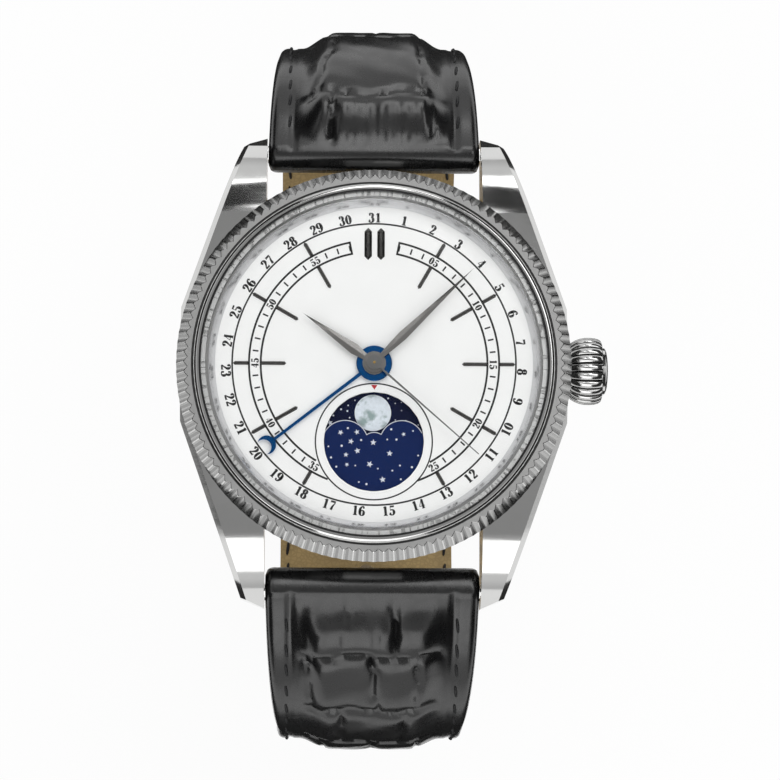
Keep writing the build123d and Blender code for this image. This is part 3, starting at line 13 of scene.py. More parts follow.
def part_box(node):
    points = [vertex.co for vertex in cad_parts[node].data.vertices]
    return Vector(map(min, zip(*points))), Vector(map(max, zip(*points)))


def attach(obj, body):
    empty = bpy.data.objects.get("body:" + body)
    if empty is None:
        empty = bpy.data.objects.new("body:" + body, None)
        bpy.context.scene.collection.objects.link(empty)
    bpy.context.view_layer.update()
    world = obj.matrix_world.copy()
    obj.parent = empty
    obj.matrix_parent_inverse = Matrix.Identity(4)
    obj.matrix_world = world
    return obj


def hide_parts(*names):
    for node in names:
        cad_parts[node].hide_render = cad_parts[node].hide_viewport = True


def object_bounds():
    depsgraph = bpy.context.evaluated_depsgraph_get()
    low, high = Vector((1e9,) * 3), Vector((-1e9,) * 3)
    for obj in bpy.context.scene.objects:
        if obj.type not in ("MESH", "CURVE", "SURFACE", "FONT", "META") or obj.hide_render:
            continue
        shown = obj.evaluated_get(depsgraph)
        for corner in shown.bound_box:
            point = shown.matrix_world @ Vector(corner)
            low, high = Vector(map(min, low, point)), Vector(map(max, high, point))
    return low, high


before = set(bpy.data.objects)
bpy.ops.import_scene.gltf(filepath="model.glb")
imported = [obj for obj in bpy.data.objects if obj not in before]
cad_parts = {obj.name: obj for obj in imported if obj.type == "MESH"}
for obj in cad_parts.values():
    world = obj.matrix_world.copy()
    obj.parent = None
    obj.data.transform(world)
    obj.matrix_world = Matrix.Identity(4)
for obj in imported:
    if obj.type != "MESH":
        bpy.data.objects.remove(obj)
cad_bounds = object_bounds()

bl_info = {
    "name": "Moon phase watch",
    "version": (1, 0, 0),
    "blender": (4, 5, 0),
    "location": "3D View > Sidebar > Watch",
    "description": "Builds the visible pieces and finishes of a moon phase wristwatch",
    "category": "Object",
}

mm = 0.001

# Places that several pieces share, in millimetres.
BUCKLE_BAR = Vector((0, 1.0, -41.0))
LOOP_CENTRE = Vector((0, 8.8, -14.0))
WINDOW = (0, -7.9)


# Colours and settings


def tone(red, green, blue):
    """A display colour, 0 to 255, as the linear colour that a shader takes."""
    shares = [value / 255 for value in (red, green, blue)]
    return tuple(s / 12.92 if s <= 0.04045 else ((s + 0.055) / 1.055) ** 2.4 for s in shares) + (1.0,)


def colour_setting(name, description, value):
    """A colour that the user can change."""
    return bpy.props.FloatVectorProperty(name=name, description=description, default=value, size=4,
                                         min=0, max=1, subtype="COLOR")


def length_setting(name, description, value):
    """A length that the user can change, its default given in millimetres."""
    return bpy.props.FloatProperty(name=name, description=description, default=value * mm, min=0,
                                   unit="LENGTH", precision=5)


class WATCH_PG_metal(bpy.types.PropertyGroup):
    """Colours of the metals and sizes of the bezel and crown."""
    steel: colour_setting("Steel", "Colour of the case metal", tone(218, 218, 217))
    dark: colour_setting("Dark marks", "Colour of the applied marks and the dark hands", tone(138, 136, 134))
    blue: colour_setting("Blued hand", "Colour of the date hand", tone(22, 104, 178))
    gilt: colour_setting("Gilt wheels", "Colour of the gilt wheels", tone(214, 178, 110))
    flutes: bpy.props.IntProperty(name="Flutes", description="Number of flutes round the bezel",
                                  default=120, min=24, max=240)
    flute_depth: length_setting("Flute depth", "Depth of a flute at the bezel's foot", 0.42)
    lobes: bpy.props.IntProperty(name="Crown lobes", description="Number of lobes round the crown",
                                 default=22, min=8, max=60)


class WATCH_PG_dial(bpy.types.PropertyGroup):
    """Colours and sizes of the dial's print and its moon window."""
    face: colour_setting("Dial", "Colour of the dial", tone(248, 248, 247))
    ink: colour_setting("Print", "Colour of the dial's print", tone(16, 16, 18))
    red: colour_setting("Pointer", "Colour of the small pointer under the centre", tone(196, 30, 44))
    sky: colour_setting("Sky", "Colour of the disc that carries the moon", tone(5, 14, 48))
    cover: colour_setting("Cover", "Colour of the star plate in front of the moon", tone(11, 32, 80))
    moon: colour_setting("Moon", "Pale colour of the moon", tone(222, 230, 238))
    date_height: length_setting("Date height", "Height of the date numerals", 0.97)
    minute_height: length_setting("Minute height", "Height of the minute numerals", 0.74)


class WATCH_PG_strap(bpy.types.PropertyGroup):
    """Colours and sizes of the strap."""
    leather: colour_setting("Leather", "Colour of the outer leather", tone(9, 9, 10))
    lining: colour_setting("Lining", "Colour of the strap's lining", tone(176, 150, 100))
    thread: colour_setting("Thread", "Colour of the stitching", tone(16, 16, 18))
    pad_rise: length_setting("Pad rise", "How far the padded middle stands above the edges", 1.45)
    stitch: length_setting("Stitch", "Length from one stitch to the next", 2.5)


class WATCH_PG_studio(bpy.types.PropertyGroup):
    """Lamp power and the level of the light all round."""
    key: bpy.props.FloatProperty(name="Key lamp", description="Power of the main lamp in watts",
                                 default=1.2, min=0)
    fill: bpy.props.FloatProperty(name="Fill lamp", description="Power of the fill lamp in watts",
                                  default=0.7, min=0)
    surround: bpy.props.FloatProperty(name="Surround", description="Brightness of the light all round",
                                      default=0.76, min=0)


def settings(kind):
    """One group of the scene's settings: metal, dial, strap or studio."""
    return getattr(bpy.context.scene, "watch_" + kind)


# Materials


class Wire:
    """A value in a material. Arithmetic on it adds the Math nodes."""

    def __init__(self, recipe, socket):
        self.recipe = recipe
        self.socket = socket

    def maths(self, operation, *values, clamped=False):
        inputs = {index: value for index, value in enumerate(values)}
        return self.recipe.node("ShaderNodeMath", {"operation": operation, "use_clamp": clamped}, inputs)

    def __add__(self, other):
        return self.maths("ADD", self, other)

    __radd__ = __add__

    def __sub__(self, other):
        return self.maths("SUBTRACT", self, other)

    def __rsub__(self, other):
        return self.maths("SUBTRACT", other, self)

    def __mul__(self, other):
        return self.maths("MULTIPLY", self, other)

    __rmul__ = __mul__

    def limited(self):
        return self.maths("ADD", self, 0, clamped=True)


class Recipe:
    """A new material, and the one way in which its nodes are added."""

    def __init__(self, name, tree=None):
        if tree is None:
            self.material = bpy.data.materials.new(name)
            self.material.use_nodes = True
            tree = self.material.node_tree
        self.tree = tree
        self.tree.nodes.clear()

    def node(self, kind, settings=None, inputs=None, result=0):
        """Adds a node: its settings first, ramp stops among them, then its values and links."""
        node = self.tree.nodes.new(kind)
        for name, value in (settings or {}).items():
            if name == "stops":
                self.set_stops(node.color_ramp.elements, value)
            else:
                setattr(node, name, value)
        for key, value in (inputs or {}).items():
            if isinstance(value, Wire):
                self.tree.links.new(value.socket, node.inputs[key])
            else:
                node.inputs[key].default_value = value
        return Wire(self, node.outputs[result]) if node.outputs else None

    @staticmethod
    def set_stops(elements, stops):
        while len(elements) < len(stops):
            elements.new(0.5)
        for element, (position, colour) in zip(elements, stops):
            element.position = position
            element.color = colour

    def place(self, stretch=(1, 1, 1), attribute=None):
        """The surface's own point in millimetres, stretched along each axis."""
        if attribute:
            spot = self.node("ShaderNodeAttribute", {"attribute_name": attribute}, result="Vector")
            scale = stretch
        else:
            spot = self.node("ShaderNodeTexCoord", result="Object")
            scale = [share / mm for share in stretch]
        return self.node("ShaderNodeMapping", {}, {"Vector": spot, "Scale": scale})

    def noise(self, size, detail=3, stretch=(1, 1, 1), attribute=None):
        """Cloudy value from about 0.25 to 0.75, its patches about the given size in millimetres."""
        inputs = {"Vector": self.place(stretch, attribute), "Scale": 1 / size, "Detail": detail,
                  "Roughness": 0.55}
        return self.node("ShaderNodeTexNoise", {}, inputs)

    def cells(self, size, stretch=(1, 1, 1), attribute=None, spread=0.8, feature="DISTANCE_TO_EDGE"):
        """Distance from the nearest edge in a pattern of cells."""
        return self.node("ShaderNodeTexVoronoi", {"feature": feature},
                         {"Vector": self.place(stretch, attribute), "Scale": 1 / size, "Randomness": spread})

    def ramp(self, value, *stops):
        return self.node("ShaderNodeValToRGB", {"stops": stops}, {"Fac": value})

    def mix(self, factor, first, second):
        return self.node("ShaderNodeMix", {"data_type": "RGBA"}, {0: factor, 6: first, 7: second}, 2)

    def bump(self, height, depth):
        """A normal raised by the height, depth in millimetres."""
        return self.node("ShaderNodeBump", {}, {"Height": height, "Distance": depth * mm, "Strength": 1.0})

    def surface(self, **inputs):
        """Ends the recipe with a Principled shader, its sockets named with underscores."""
        named = {key.replace("_", " ").title().replace("Ior", "IOR"): value for key, value in inputs.items()}
        return self.end(self.node("ShaderNodeBsdfPrincipled", {}, named))

    def end(self, shader):
        self.node("ShaderNodeOutputMaterial", {}, {"Surface": shader})
        return self.material


def dimmed(colour, share):
    """The colour with its brightness multiplied."""
    return tuple(part * share for part in colour[:3]) + (1.0,)


def metal(name, colour, gloss, brushed=None, wear=0.06, relief=0.002):
    """Polished or brushed metal with faint clouding and hairline marks."""
    recipe = Recipe(name)
    cloud = recipe.noise(3.0, 3)
    hair = recipe.noise(0.3, 2, brushed or (1.0, 0.12, 0.3))
    rough = gloss + wear * (cloud - 0.5) + wear * (hair - 0.5)
    shade = recipe.mix((cloud * 1.6 - 0.3).limited(), dimmed(colour, 0.93), colour)
    return recipe.surface(base_color=shade, metallic=1.0, roughness=rough.limited(),
                          normal=recipe.bump(hair, relief))


def striped_nickel(name, colour):
    """Nickel plate with broad ground stripes across it."""
    recipe = Recipe(name)
    bands = {"wave_type": "BANDS", "bands_direction": "X", "wave_profile": "SIN"}
    inputs = {"Vector": recipe.place((1, 0.35, 1)), "Scale": 0.16, "Distortion": 0.4, "Detail": 2.0}
    wave = recipe.node("ShaderNodeTexWave", bands, inputs, "Fac")
    grain = recipe.noise(0.12, 3, (1, 0.15, 1))
    shade = recipe.mix(wave, dimmed(colour, 0.8), colour)
    return recipe.surface(base_color=shade, metallic=1.0, roughness=0.22 + 0.16 * grain,
                          normal=recipe.bump(wave + 0.15 * grain, 0.02))


def beaded_metal(name, colour):
    """Metal blasted to an even, fine grain."""
    recipe = Recipe(name)
    grain = recipe.noise(0.05, 4)
    cloud = recipe.noise(2.0, 2)
    shade = recipe.mix(grain, dimmed(colour, 0.82), colour)
    return recipe.surface(base_color=shade, metallic=1.0, roughness=0.42 + 0.12 * cloud,
                          normal=recipe.bump(grain, 0.006))


def lacquer(name, colour, rough, glitter=None, shine=0.5):
    """Painted plate with a very fine grain under its lacquer."""
    recipe = Recipe(name)
    grain = recipe.noise(0.07, 4)
    cloud = recipe.noise(4.0, 2)
    shade = recipe.mix((cloud * 1.4 - 0.2).limited(), dimmed(colour, 0.94), colour)
    if glitter:
        shade = recipe.mix(((recipe.noise(0.05, 1) - 0.6) * 6).limited(), shade, glitter)
    return recipe.surface(base_color=shade, roughness=rough + 0.12 * (grain - 0.5), specular_ior_level=shine,
                          coat_weight=0.5 * shine, coat_roughness=0.08, normal=recipe.bump(grain, 0.004))


def ink(name, colour):
    """Printed ink, slightly raised and uneven."""
    recipe = Recipe(name)
    grain = recipe.noise(0.04, 3)
    shade = recipe.mix(grain, dimmed(colour, 0.7), colour)
    return recipe.surface(base_color=shade, roughness=0.3 + 0.2 * grain, normal=recipe.bump(grain, 0.002))


def clear_glass(name, tint, haze, mirror):
    """Clear glass: see-through face on, a mirror of the given strength at a slant."""
    recipe = Recipe(name)
    smear = recipe.noise(6.0, 4)
    facing = recipe.node("ShaderNodeFresnel", {}, {"IOR": 1.6})
    through = recipe.node("ShaderNodeBsdfTransparent", {}, {"Color": tint})
    gloss = recipe.node("ShaderNodeBsdfGlossy", {}, {"Roughness": haze, "Color": (1, 1, 1, 1)})
    share = (facing * (mirror + 0.1 * mirror * smear)).limited()
    return recipe.end(recipe.node("ShaderNodeMixShader", {}, {0: share, 1: through, 2: gloss}))


def rubber(name):
    """Black moulded rubber."""
    recipe = Recipe(name)
    grain = recipe.noise(0.08, 3)
    shade = recipe.mix(grain, tone(10, 10, 11), tone(24, 24, 25))
    return recipe.surface(base_color=shade, roughness=0.45 + 0.3 * grain, normal=recipe.bump(grain, 0.006))


def moon_stone(name, colour):
    """Pale moon with grey-green seas."""
    recipe = Recipe(name)
    seas = recipe.noise(1.7, 4)
    craters = recipe.cells(0.35, spread=1.0, feature="F1")
    patch = ((seas - 0.5) * 9).limited()
    base = recipe.mix(craters, dimmed(colour, 0.86), colour)
    shade = recipe.mix(patch * 0.92, base, tone(132, 152, 150))
    return recipe.surface(base_color=shade, roughness=0.4, normal=recipe.bump(craters, 0.01))


def crocodile_leather(name, colour, attribute=None, fine=1.0):
    """Black glossy leather: soft squarish scales and a fine skin grain, darker in the creases between the
    scales and in the hollows of the folds as painted shade.
    """
    recipe = Recipe(name)
    scales = recipe.cells(3.4 * fine, (0.8, 1.1, 1), attribute, 0.75)
    groove = (scales * (9.0 * fine)).limited()
    skin = recipe.cells(0.42, (1, 1, 1), attribute, 1.0)
    fold = recipe.noise(1.8, 3, (1.7, 0.5, 1), attribute)
    pore = recipe.noise(0.16, 3, (1, 1, 1), attribute)
    height = groove * 0.12 + (skin * 3).limited() * 0.05 + fold * 0.45 + pore * 0.08
    # Painted shade: darker in the creases between the scales and in the low parts of the folds.
    shade = recipe.mix((groove * 0.7 + fold * 0.5).limited(), dimmed(colour, 0.4), colour)
    rough = 0.34 - 0.06 * groove + 0.14 * (pore - 0.5) + 0.14 * (fold - 0.5)
    return recipe.surface(base_color=shade, roughness=rough.limited(), coat_weight=0.7, coat_roughness=0.2,
                          specular_ior_level=0.5, normal=recipe.bump(height, 0.05))


def calf_lining(name, colour, attribute=None):
    """Tan lining leather with pores, creases and darker worn patches."""
    recipe = Recipe(name)
    pores = recipe.cells(0.5, (1, 1, 1), attribute, 1.0)
    cloud = recipe.noise(5.0, 4, (1, 1, 1), attribute)
    crease = recipe.noise(0.7, 4, (0.4, 1.8, 1), attribute)
    shade = recipe.mix((cloud * 1.8 - 0.4).limited(), dimmed(colour, 0.68), colour)
    shade = recipe.mix((1 - pores * 5).limited() * 0.5, shade, dimmed(colour, 0.5))
    return recipe.surface(base_color=shade, roughness=0.55 + 0.2 * (crease - 0.5),
                          normal=recipe.bump(pores * 1.2 + crease, 0.03))


def waxed_thread(name, colour):
    """Twisted thread."""
    recipe = Recipe(name)
    twist = recipe.node("ShaderNodeTexWave", {"bands_direction": "DIAGONAL"},
                        {"Vector": recipe.place(), "Scale": 2.2, "Distortion": 0.5}, "Fac")
    shade = recipe.mix(twist, dimmed(colour, 0.6), dimmed(colour, 1.8))
    return recipe.surface(base_color=shade, roughness=0.45 + 0.1 * twist, normal=recipe.bump(twist, 0.02))


def ruby(name):
    """Pink-red jewel."""
    recipe = Recipe(name)
    cloud = recipe.noise(0.4, 2)
    shade = recipe.mix(cloud, tone(150, 12, 54), tone(214, 40, 90))
    return recipe.surface(base_color=shade, roughness=0.08 + 0.06 * cloud, coat_weight=0.6)


# Mesh helpers


def new_mesh(name, points, faces, *finishes):
    """A mesh with its materials, from points in millimetres."""
    mesh = bpy.data.meshes.new(name)
    mesh.from_pydata([Vector(point) * mm for point in points], [], faces)
    for finish in finishes:
        mesh.materials.append(finish)
    return mesh


def new_object(name, data):
    """Adds an object with the given data to the scene."""
    thing = bpy.data.objects.new(name, data)
    bpy.context.scene.collection.objects.link(thing)
    return thing


def face_outwards(mesh, weld=0):
    """Turns all faces outwards, and joins points nearer than the weld distance in millimetres."""
    shell = bmesh.new()
    shell.from_mesh(mesh)
    if weld:
        bmesh.ops.remove_doubles(shell, verts=shell.verts, dist=weld * mm)
    bmesh.ops.recalc_face_normals(shell, faces=shell.faces)
    shell.to_mesh(mesh)
    shell.free()


def make_piece(name, points, faces, body, finishes, smooth=30, instead_of=(), slot=None, face_finish=None,
               place=None, closed=True):
    """Adds a mesh, its points in millimetres, that rides on a body."""
    mesh = new_mesh(name, points, faces, *(finishes if isinstance(finishes, list) else [finishes]))
    if face_finish:
        mesh.polygons.foreach_set("material_index", face_finish)
    if place:
        spots = mesh.attributes.new("strap_place", "FLOAT_VECTOR", "POINT")
        spots.data.foreach_set("vector", [part for spot in place for part in spot])
    if closed:
        face_outwards(mesh, 0.0001)
    mesh.shade_smooth()
    mesh.set_sharp_from_angle(angle=math.radians(smooth))
    piece = new_object(name, mesh)
    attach(piece, body)
    if instead_of:
        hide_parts(*instead_of)
    return piece


def polar(radius, degrees, centre=(0, 0)):
    """Point on a circle, its angle counted from the X axis."""
    angle = math.radians(degrees)
    return centre[0] + radius * math.cos(angle), centre[1] + radius * math.sin(angle)


def clock_point(radius, degrees):
    """Point on a circle round the dial's centre, its angle counted clockwise from 12 o'clock."""
    angle = math.radians(degrees)
    return radius * math.sin(angle), radius * math.cos(angle)


def capped(points, faces, columns):
    """The tube of rows with its first and last row closed."""
    ends = [tuple(range(columns)), tuple(range(len(points) - columns, len(points)))[::-1]]
    return points, faces + ends


def row_faces(rows, columns, wrap_rows=False, wrap_columns=True):
    """Quads between rows of points."""
    faces = []
    for row in range(rows if wrap_rows else rows - 1):
        below = row * columns
        above = (row + 1) % rows * columns
        for column in range(columns if wrap_columns else columns - 1):
            after = (column + 1) % columns
            faces.append((below + column, below + after, above + after, above + column))
    return faces


def turned(profile, sides=180, centre=(0, 0), closed=False):
    """Points and faces of a profile of (radius, height) pairs turned about Z."""
    points = []
    for radius, height in profile:
        for side in range(sides):
            angle = 2 * math.pi * side / sides
            x, y = radius * math.cos(angle), radius * math.sin(angle)
            points.append((centre[0] + x, centre[1] + y, height))
    return points, row_faces(len(profile), sides, closed)


def joined(*shapes):
    """One list of points and one of faces from several shapes."""
    points, faces = [], []
    for more_points, more_faces in shapes:
        start = len(points)
        points.extend(more_points)
        faces.extend(tuple(index + start for index in face) for face in more_faces)
    return points, faces


def curve_between(start, end, steps):
    """Quarter ellipse from start, leaving it upwards, to end, as (radius, height) pairs."""
    pairs = []
    for step in range(steps + 1):
        angle = math.pi / 2 * step / steps
        pairs.append((end[0] + (start[0] - end[0]) * math.cos(angle),
                      start[1] + (end[1] - start[1]) * math.sin(angle)))
    return pairs


def plate(outline, low, high):
    """Points and faces of an upright solid on a plane outline without holes."""
    count = len(outline)
    points = [(x, y, low) for x, y in outline] + [(x, y, high) for x, y in outline]
    faces = row_faces(2, count)
    faces.append(tuple(range(count))[::-1])
    faces.append(tuple(range(count, 2 * count)))
    return points, faces


def sheet(polygons, level):
    """Thin print: upward faces of plane polygons at one level."""
    points, faces = [], []
    for polygon in polygons:
        area = sum(a[0] * b[1] - b[0] * a[1] for a, b in zip(polygon, polygon[1:] + polygon[:1]))
        corners = polygon if area > 0 else polygon[::-1]
        start = len(points)
        points.extend((x, y, level) for x, y in corners)
        faces.append(tuple(range(start, start + len(corners))))
    return points, faces


def round_outline(radius, centre=(0, 0), sides=32, start=0, end=360):
    """Points round a circle or along an arc of it."""
    whole = end - start == 360
    count = sides if whole else sides + 1
    return [polar(radius, start + (end - start) * k / sides, centre) for k in range(count)]


def stroke(path, widths):
    """Quads along a pen path with a width at each point."""
    left, right = [], []
    for index, (x, y) in enumerate(path):
        before = path[max(index - 1, 0)]
        after = path[min(index + 1, len(path) - 1)]
        along = Vector((after[0] - before[0], after[1] - before[1]))
        along.normalize()
        half = (widths[index] if isinstance(widths, (list, tuple)) else widths) / 2
        left.append((x - along.y * half, y + along.x * half))
        right.append((x + along.y * half, y - along.x * half))
    return [[left[k], left[k + 1], right[k + 1], right[k]] for k in range(len(path) - 1)]


def arc_line(radius, centre, start, end, width, sides):
    """Quads of a thin line along an arc."""
    return stroke([polar(radius, start + (end - start) * k / sides, centre) for k in range(sides + 1)], width)


def arc_through(first, middle, last, steps):
    """Points along the circle through three points."""
    (ax, ay), (bx, by), (cx, cy) = first, middle, last
    d = 2 * (ax * (by - cy) + bx * (cy - ay) + cx * (ay - by))
    a, b, c = (x * x + y * y for x, y in (first, middle, last))
    ux = (a * (by - cy) + b * (cy - ay) + c * (ay - by)) / d
    uy = (a * (cx - bx) + b * (ax - cx) + c * (bx - ax)) / d
    radius = math.hypot(ax - ux, ay - uy)
    begin = math.atan2(ay - uy, ax - ux)
    finish = math.atan2(cy - uy, cx - ux)
    if finish > begin:
        finish -= 2 * math.pi
    return [(ux + radius * math.cos(begin + (finish - begin) * k / steps),
             uy + radius * math.sin(begin + (finish - begin) * k / steps)) for k in range(steps + 1)]


def finish_nodes(finish, *names):
    """Gives the finish to nodes whose shape stays."""
    for name in names:
        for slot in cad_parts[name].material_slots:
            slot.material = finish


# Case


class WATCH_OT_case(bpy.types.Operator):
    """Satin steel on the case, polished steel on its small parts"""
    bl_idname = "watch.case"
    bl_label = "Case finish"

    def execute(self, context):
        steel = settings("metal").steel
        finish_nodes(metal("case_steel", steel, 0.1, (0.1, 1.0, 0.3), 0.06), "mid_case")
        finish_nodes(metal("fitting_steel", steel, 0.14), "spring_bars", "crown_tube", "winding_stem",
                     "date_corrector", "moon_corrector", "buckle_bar")
        finish_nodes(rubber("seal_rubber"), "crown_gasket", "back_gasket")
        return {"FINISHED"}


class WATCH_OT_bezel(bpy.types.Operator):
    """Pleated bezel with flute facets in painted shade, its matte ring, a channel painted dark as shade and
    rounded polished ring
    """
    bl_idname = "watch.bezel"
    bl_label = "Bezel"

    # Ridge radius, height, share of the flute depth, and finish of the band above each level; finish 2 is the
    # channel, painted dark as shade.
    levels = [(18.25, 8.3, 0, 0), (19.98, 8.3, 0.06, 0), (20.0, 8.4, 0.1, 0), (19.24, 9.86, 1, 0),
              (19.17, 9.9, 1, 1), (18.74, 9.9, 0, 1), (18.44, 9.9, 0, 2), (18.41, 9.75, 0, 2),
              (18.31, 9.75, 0, 2)]
    outer_radius = 20
    # Where one flute's columns of points stand, and the finish of the facet after each column: the facets
    # toward each groove's bottom take dimmed steel as painted shade, darker on one side.
    shares = (0.07, 0.25, 0.48, 0.52, 0.75, 0.93)
    facet_finishes = (4, 5, 5, 4, 4, 0)

    def execute(self, context):
        group = settings("metal")
        rows = list(self.levels)
        rows += [(radius, height, 0, 3) for radius, height in curve_between((18.3, 9.76), (17.82, 10.35), 9)]
        rows += [(17.66, 10.34, 0, 3), (17.61, 10.28, 0, 3), (17.6, 10.0, 0, 6), (17.0, 10.0, 0, 6),
                 (17.0, 9.06, 0, 0), (18.25, 9.06, 0, 0)]
        turns = [(flute + share) / group.flutes for flute in range(group.flutes) for share in self.shares]
        points = []
        for radius, height, fluted, _ in rows:
            for turn in turns:
                share = turn * group.flutes % 1
                cut = fluted * group.flute_depth / mm * radius / self.outer_radius * (1 - abs(1 - 2 * share))
                angle = 2 * math.pi * turn
                points.append(((radius - cut) * math.cos(angle), (radius - cut) * math.sin(angle), height))
        faces = row_faces(len(rows), len(turns), wrap_rows=True)
        bands = [self.facet_finishes[column % len(self.shares)] if finish == 0 and fluted else finish
                 for _, _, fluted, finish in rows for column in range(len(turns))]
        finishes = [metal("flute_steel", group.steel, 0.1, (0.4, 0.4, 2.0), 0.05),
                    metal("matte_steel", dimmed(group.steel, 0.62), 0.4, (1, 1, 1), 0.1, 0.006),
                    # The channel's steel dimmed nearly to black: painted shade in the recess.
                    metal("channel_painted_shade", dimmed(group.steel, 0.12), 0.5),
                    metal("mirror_steel", group.steel, 0.1, None, 0.03),
                    # Dimmed copies of the flute steel: painted shade on the groove sides, the second one
                    # darker.
                    metal("flute_facet_painted_shade", dimmed(group.steel, 0.72), 0.24, (0.4, 0.4, 2.0), 0.05),
                    metal("flute_facet_deep_painted_shade", dimmed(group.steel, 0.5), 0.24, (0.4, 0.4, 2.0), 0.05),
                    metal("seat_steel", group.steel, 0.4, None, 0.05)]
        make_piece("bezel_pleated", points, faces, "case", finishes, 22, ("bezel",), "polished_steel", bands)
        profile = [(17.45, 10.0), (17.45, 10.3), (17.48, 10.33), (17.57, 10.33), (17.6, 10.3), (17.6, 10.0)]
        black = rubber("crystal_rubber")
        make_piece("crystal_seal", *turned(profile, 240, closed=True), "case", black, 40, ("crystal_gasket",),
                   "seal_rubber")
        return {"FINISHED"}


class WATCH_OT_crystal(bpy.types.Operator):
    """Domed crystal with its bevelled edge, and the sloping ring below it"""
    bl_idname = "watch.crystal"
    bl_label = "Crystal and sloping ring"

    @staticmethod
    def dome(radius, foot, rise, angles):
        """(radius, height) pairs of a shallow dome at angles from its axis."""
        return [(radius * math.sin(math.radians(a)), foot + rise * math.cos(math.radians(a))) for a in angles]

    def execute(self, context):
        outside = [(17.45, 10.0), (17.45, 10.5), (17.4, 10.56), (17.2, 10.75)]
        outside += self.dome(17.2, 10.75, 0.8, range(80, -1, -10))
        dome = turned(outside + self.dome(16.95, 10.0, 0.45, range(0, 91, 10)), 180, closed=True)
        glass = clear_glass("crystal_glass", (0.996, 0.998, 0.998, 1), 0.01, 0.12)
        make_piece("crystal_dome", *dome, "case", glass, 20, ("crystal",), "crystal_glass")
        profile = [(16.7, 8.86), (16.04, 8.86), (16.6, 9.9), (16.64, 9.94), (16.7, 9.94)]
        slope = turned(profile, 240, closed=True)
        shine = metal("slope_steel", tone(222, 222, 224), 0.24, None, 0.04)
        make_piece("slope_polished", *slope, "case", shine, 20, ("slope_ring",), "polished_steel")
        return {"FINISHED"}


class WATCH_OT_crown(bpy.types.Operator):
    """Barrel crown with rounded lobes, the grooves between them painted dark as shade, and a bare domed cap
    """
    bl_idname = "watch.crown"
    bl_label = "Crown"

    # Place along the axis, radius and depth of the lobes there.
    levels = [(21.3, 1.62, 0), (19.95, 1.62, 0), (19.95, 2.6, 0), (20.0, 2.75, 0.1), (20.2, 2.92, 0.24),
              (20.6, 3.16, 0.32), (21.1, 3.35, 0.36), (21.6, 3.44, 0.37), (22.1, 3.45, 0.37),
              (22.6, 3.41, 0.36), (23.0, 3.3, 0.3), (23.25, 3.14, 0.2), (23.33, 2.95, 0.08), (23.34, 2.6, 0),
              (23.32, 2.47, 0),
              (23.45, 2.44, 0), (23.62, 2.4, 0), (23.75, 2.24, 0), (23.86, 1.9, 0), (23.94, 1.3, 0),
              (23.98, 0.6, 0), (24.0, 0, 0)]
    axis_z = 3.9
    per_lobe = 10
    grooved_rows = range(5, 14)

    def execute(self, context):
        group = settings("metal")
        per_lobe = self.per_lobe
        sides = group.lobes * per_lobe
        points = [(self.levels[0][0], 0, self.axis_z)] * sides
        for along, radius, depth in self.levels:
            for side in range(sides):
                across = 2 * (side % per_lobe) / per_lobe - 1
                reach = radius - depth * (1 - math.sqrt(max(0, 1 - across * across)))
                angle = 2 * math.pi * side / sides
                points.append((along, reach * math.cos(angle), self.axis_z + reach * math.sin(angle)))
        finishes = [metal("crown_steel", group.steel, 0.14, None, 0.05),
                    # Dimmed steel: painted shade in the grooves between the lobes.
                    metal("crown_groove_painted_shade", dimmed(group.steel, 0.16), 0.3, None, 0.05)]
        faces = row_faces(len(self.levels) + 1, sides)
        # Faces beside each lobe's edge in the middle rows take the painted shade.
        groove_painted_shade = [int(row in self.grooved_rows and side % per_lobe in (0, per_lobe - 1))
                   for row in range(len(self.levels)) for side in range(sides)]
        make_piece("crown_barrel", points, faces, "crown", finishes, 35, ("crown",), "polished_steel",
                   groove_painted_shade)
        return {"FINISHED"}


class WATCH_OT_case_back(bpy.types.Operator):
    """Back ring with rounded edges and key notches, and its window"""
    bl_idname = "watch.case_back"
    bl_label = "Case back"

    levels = [(13.3, 1.1), (13.3, 0.12), (13.42, 0.0), (16.2, 0.0), (16.2, 0.0), (17.3, 0.0), (17.46, 0.08),
              (17.5, 0.2), (17.5, 0.82), (17.42, 0.9), (15.9, 0.9), (15.9, 2.3), (14.75, 2.3), (14.75, 1.42),
              (12.5, 1.42), (12.5, 1.1)]
    # What the levels of these numbers are inside a key notch.
    cut = {4: (16.2, 0.55), 5: (17.3, 0.55), 6: (17.46, 0.55), 7: (17.5, 0.55)}
    notches = 6
    notch_half_width = 1.2
    notch_radius = 17.0

    def execute(self, context):
        half = math.degrees(math.asin(self.notch_half_width / self.notch_radius))
        spacing = 360 / self.notches
        wall = 0.05
        turns = []
        for notch in range(self.notches):
            middle = spacing * (notch + 0.5)
            turns += [(middle - half + k * half / 4, True) for k in range(9)]
            rest = spacing - 2 * half - 2 * wall
            turns += [(middle + half + wall + k * rest / 12, False) for k in range(13)]
        points = []
        for index, (radius, height) in enumerate(self.levels):
            for angle, notched in turns:
                reach, z = self.cut.get(index, (radius, height)) if notched else (radius, height)
                points.append((*polar(reach, angle), z))
        faces = row_faces(len(self.levels), len(turns), wrap_rows=True)
        finish = metal("back_steel", settings("metal").steel, 0.16, (0.3, 0.3, 1), 0.07)
        make_piece("back_ring", points, faces, "case", finish, 30, ("case_back",), "polished_steel")
        finish_nodes(clear_glass("back_window_glass", (0.98, 0.985, 0.985, 1), 0.015, 0.5), "back_glass")
        return {"FINISHED"}


# Dial


def loop_points(centre, across, up, start, end, thick, thin, steps=20):
    """A pen path on part of an ellipse: thick where it runs upright, thin where it runs level."""
    path, widths = [], []
    contrast = 1.6
    for step in range(steps + 1):
        angle = math.radians(start + (end - start) * step / steps)
        path.append((centre[0] + across * math.cos(angle), centre[1] + up * math.sin(angle)))
        widths.append(thin + (thick - thin) * abs(math.cos(angle)) ** contrast)
    return path, widths


def dot(centre, radius, sides=12):
    """A small round polygon."""
    return round_outline(radius, centre, sides)


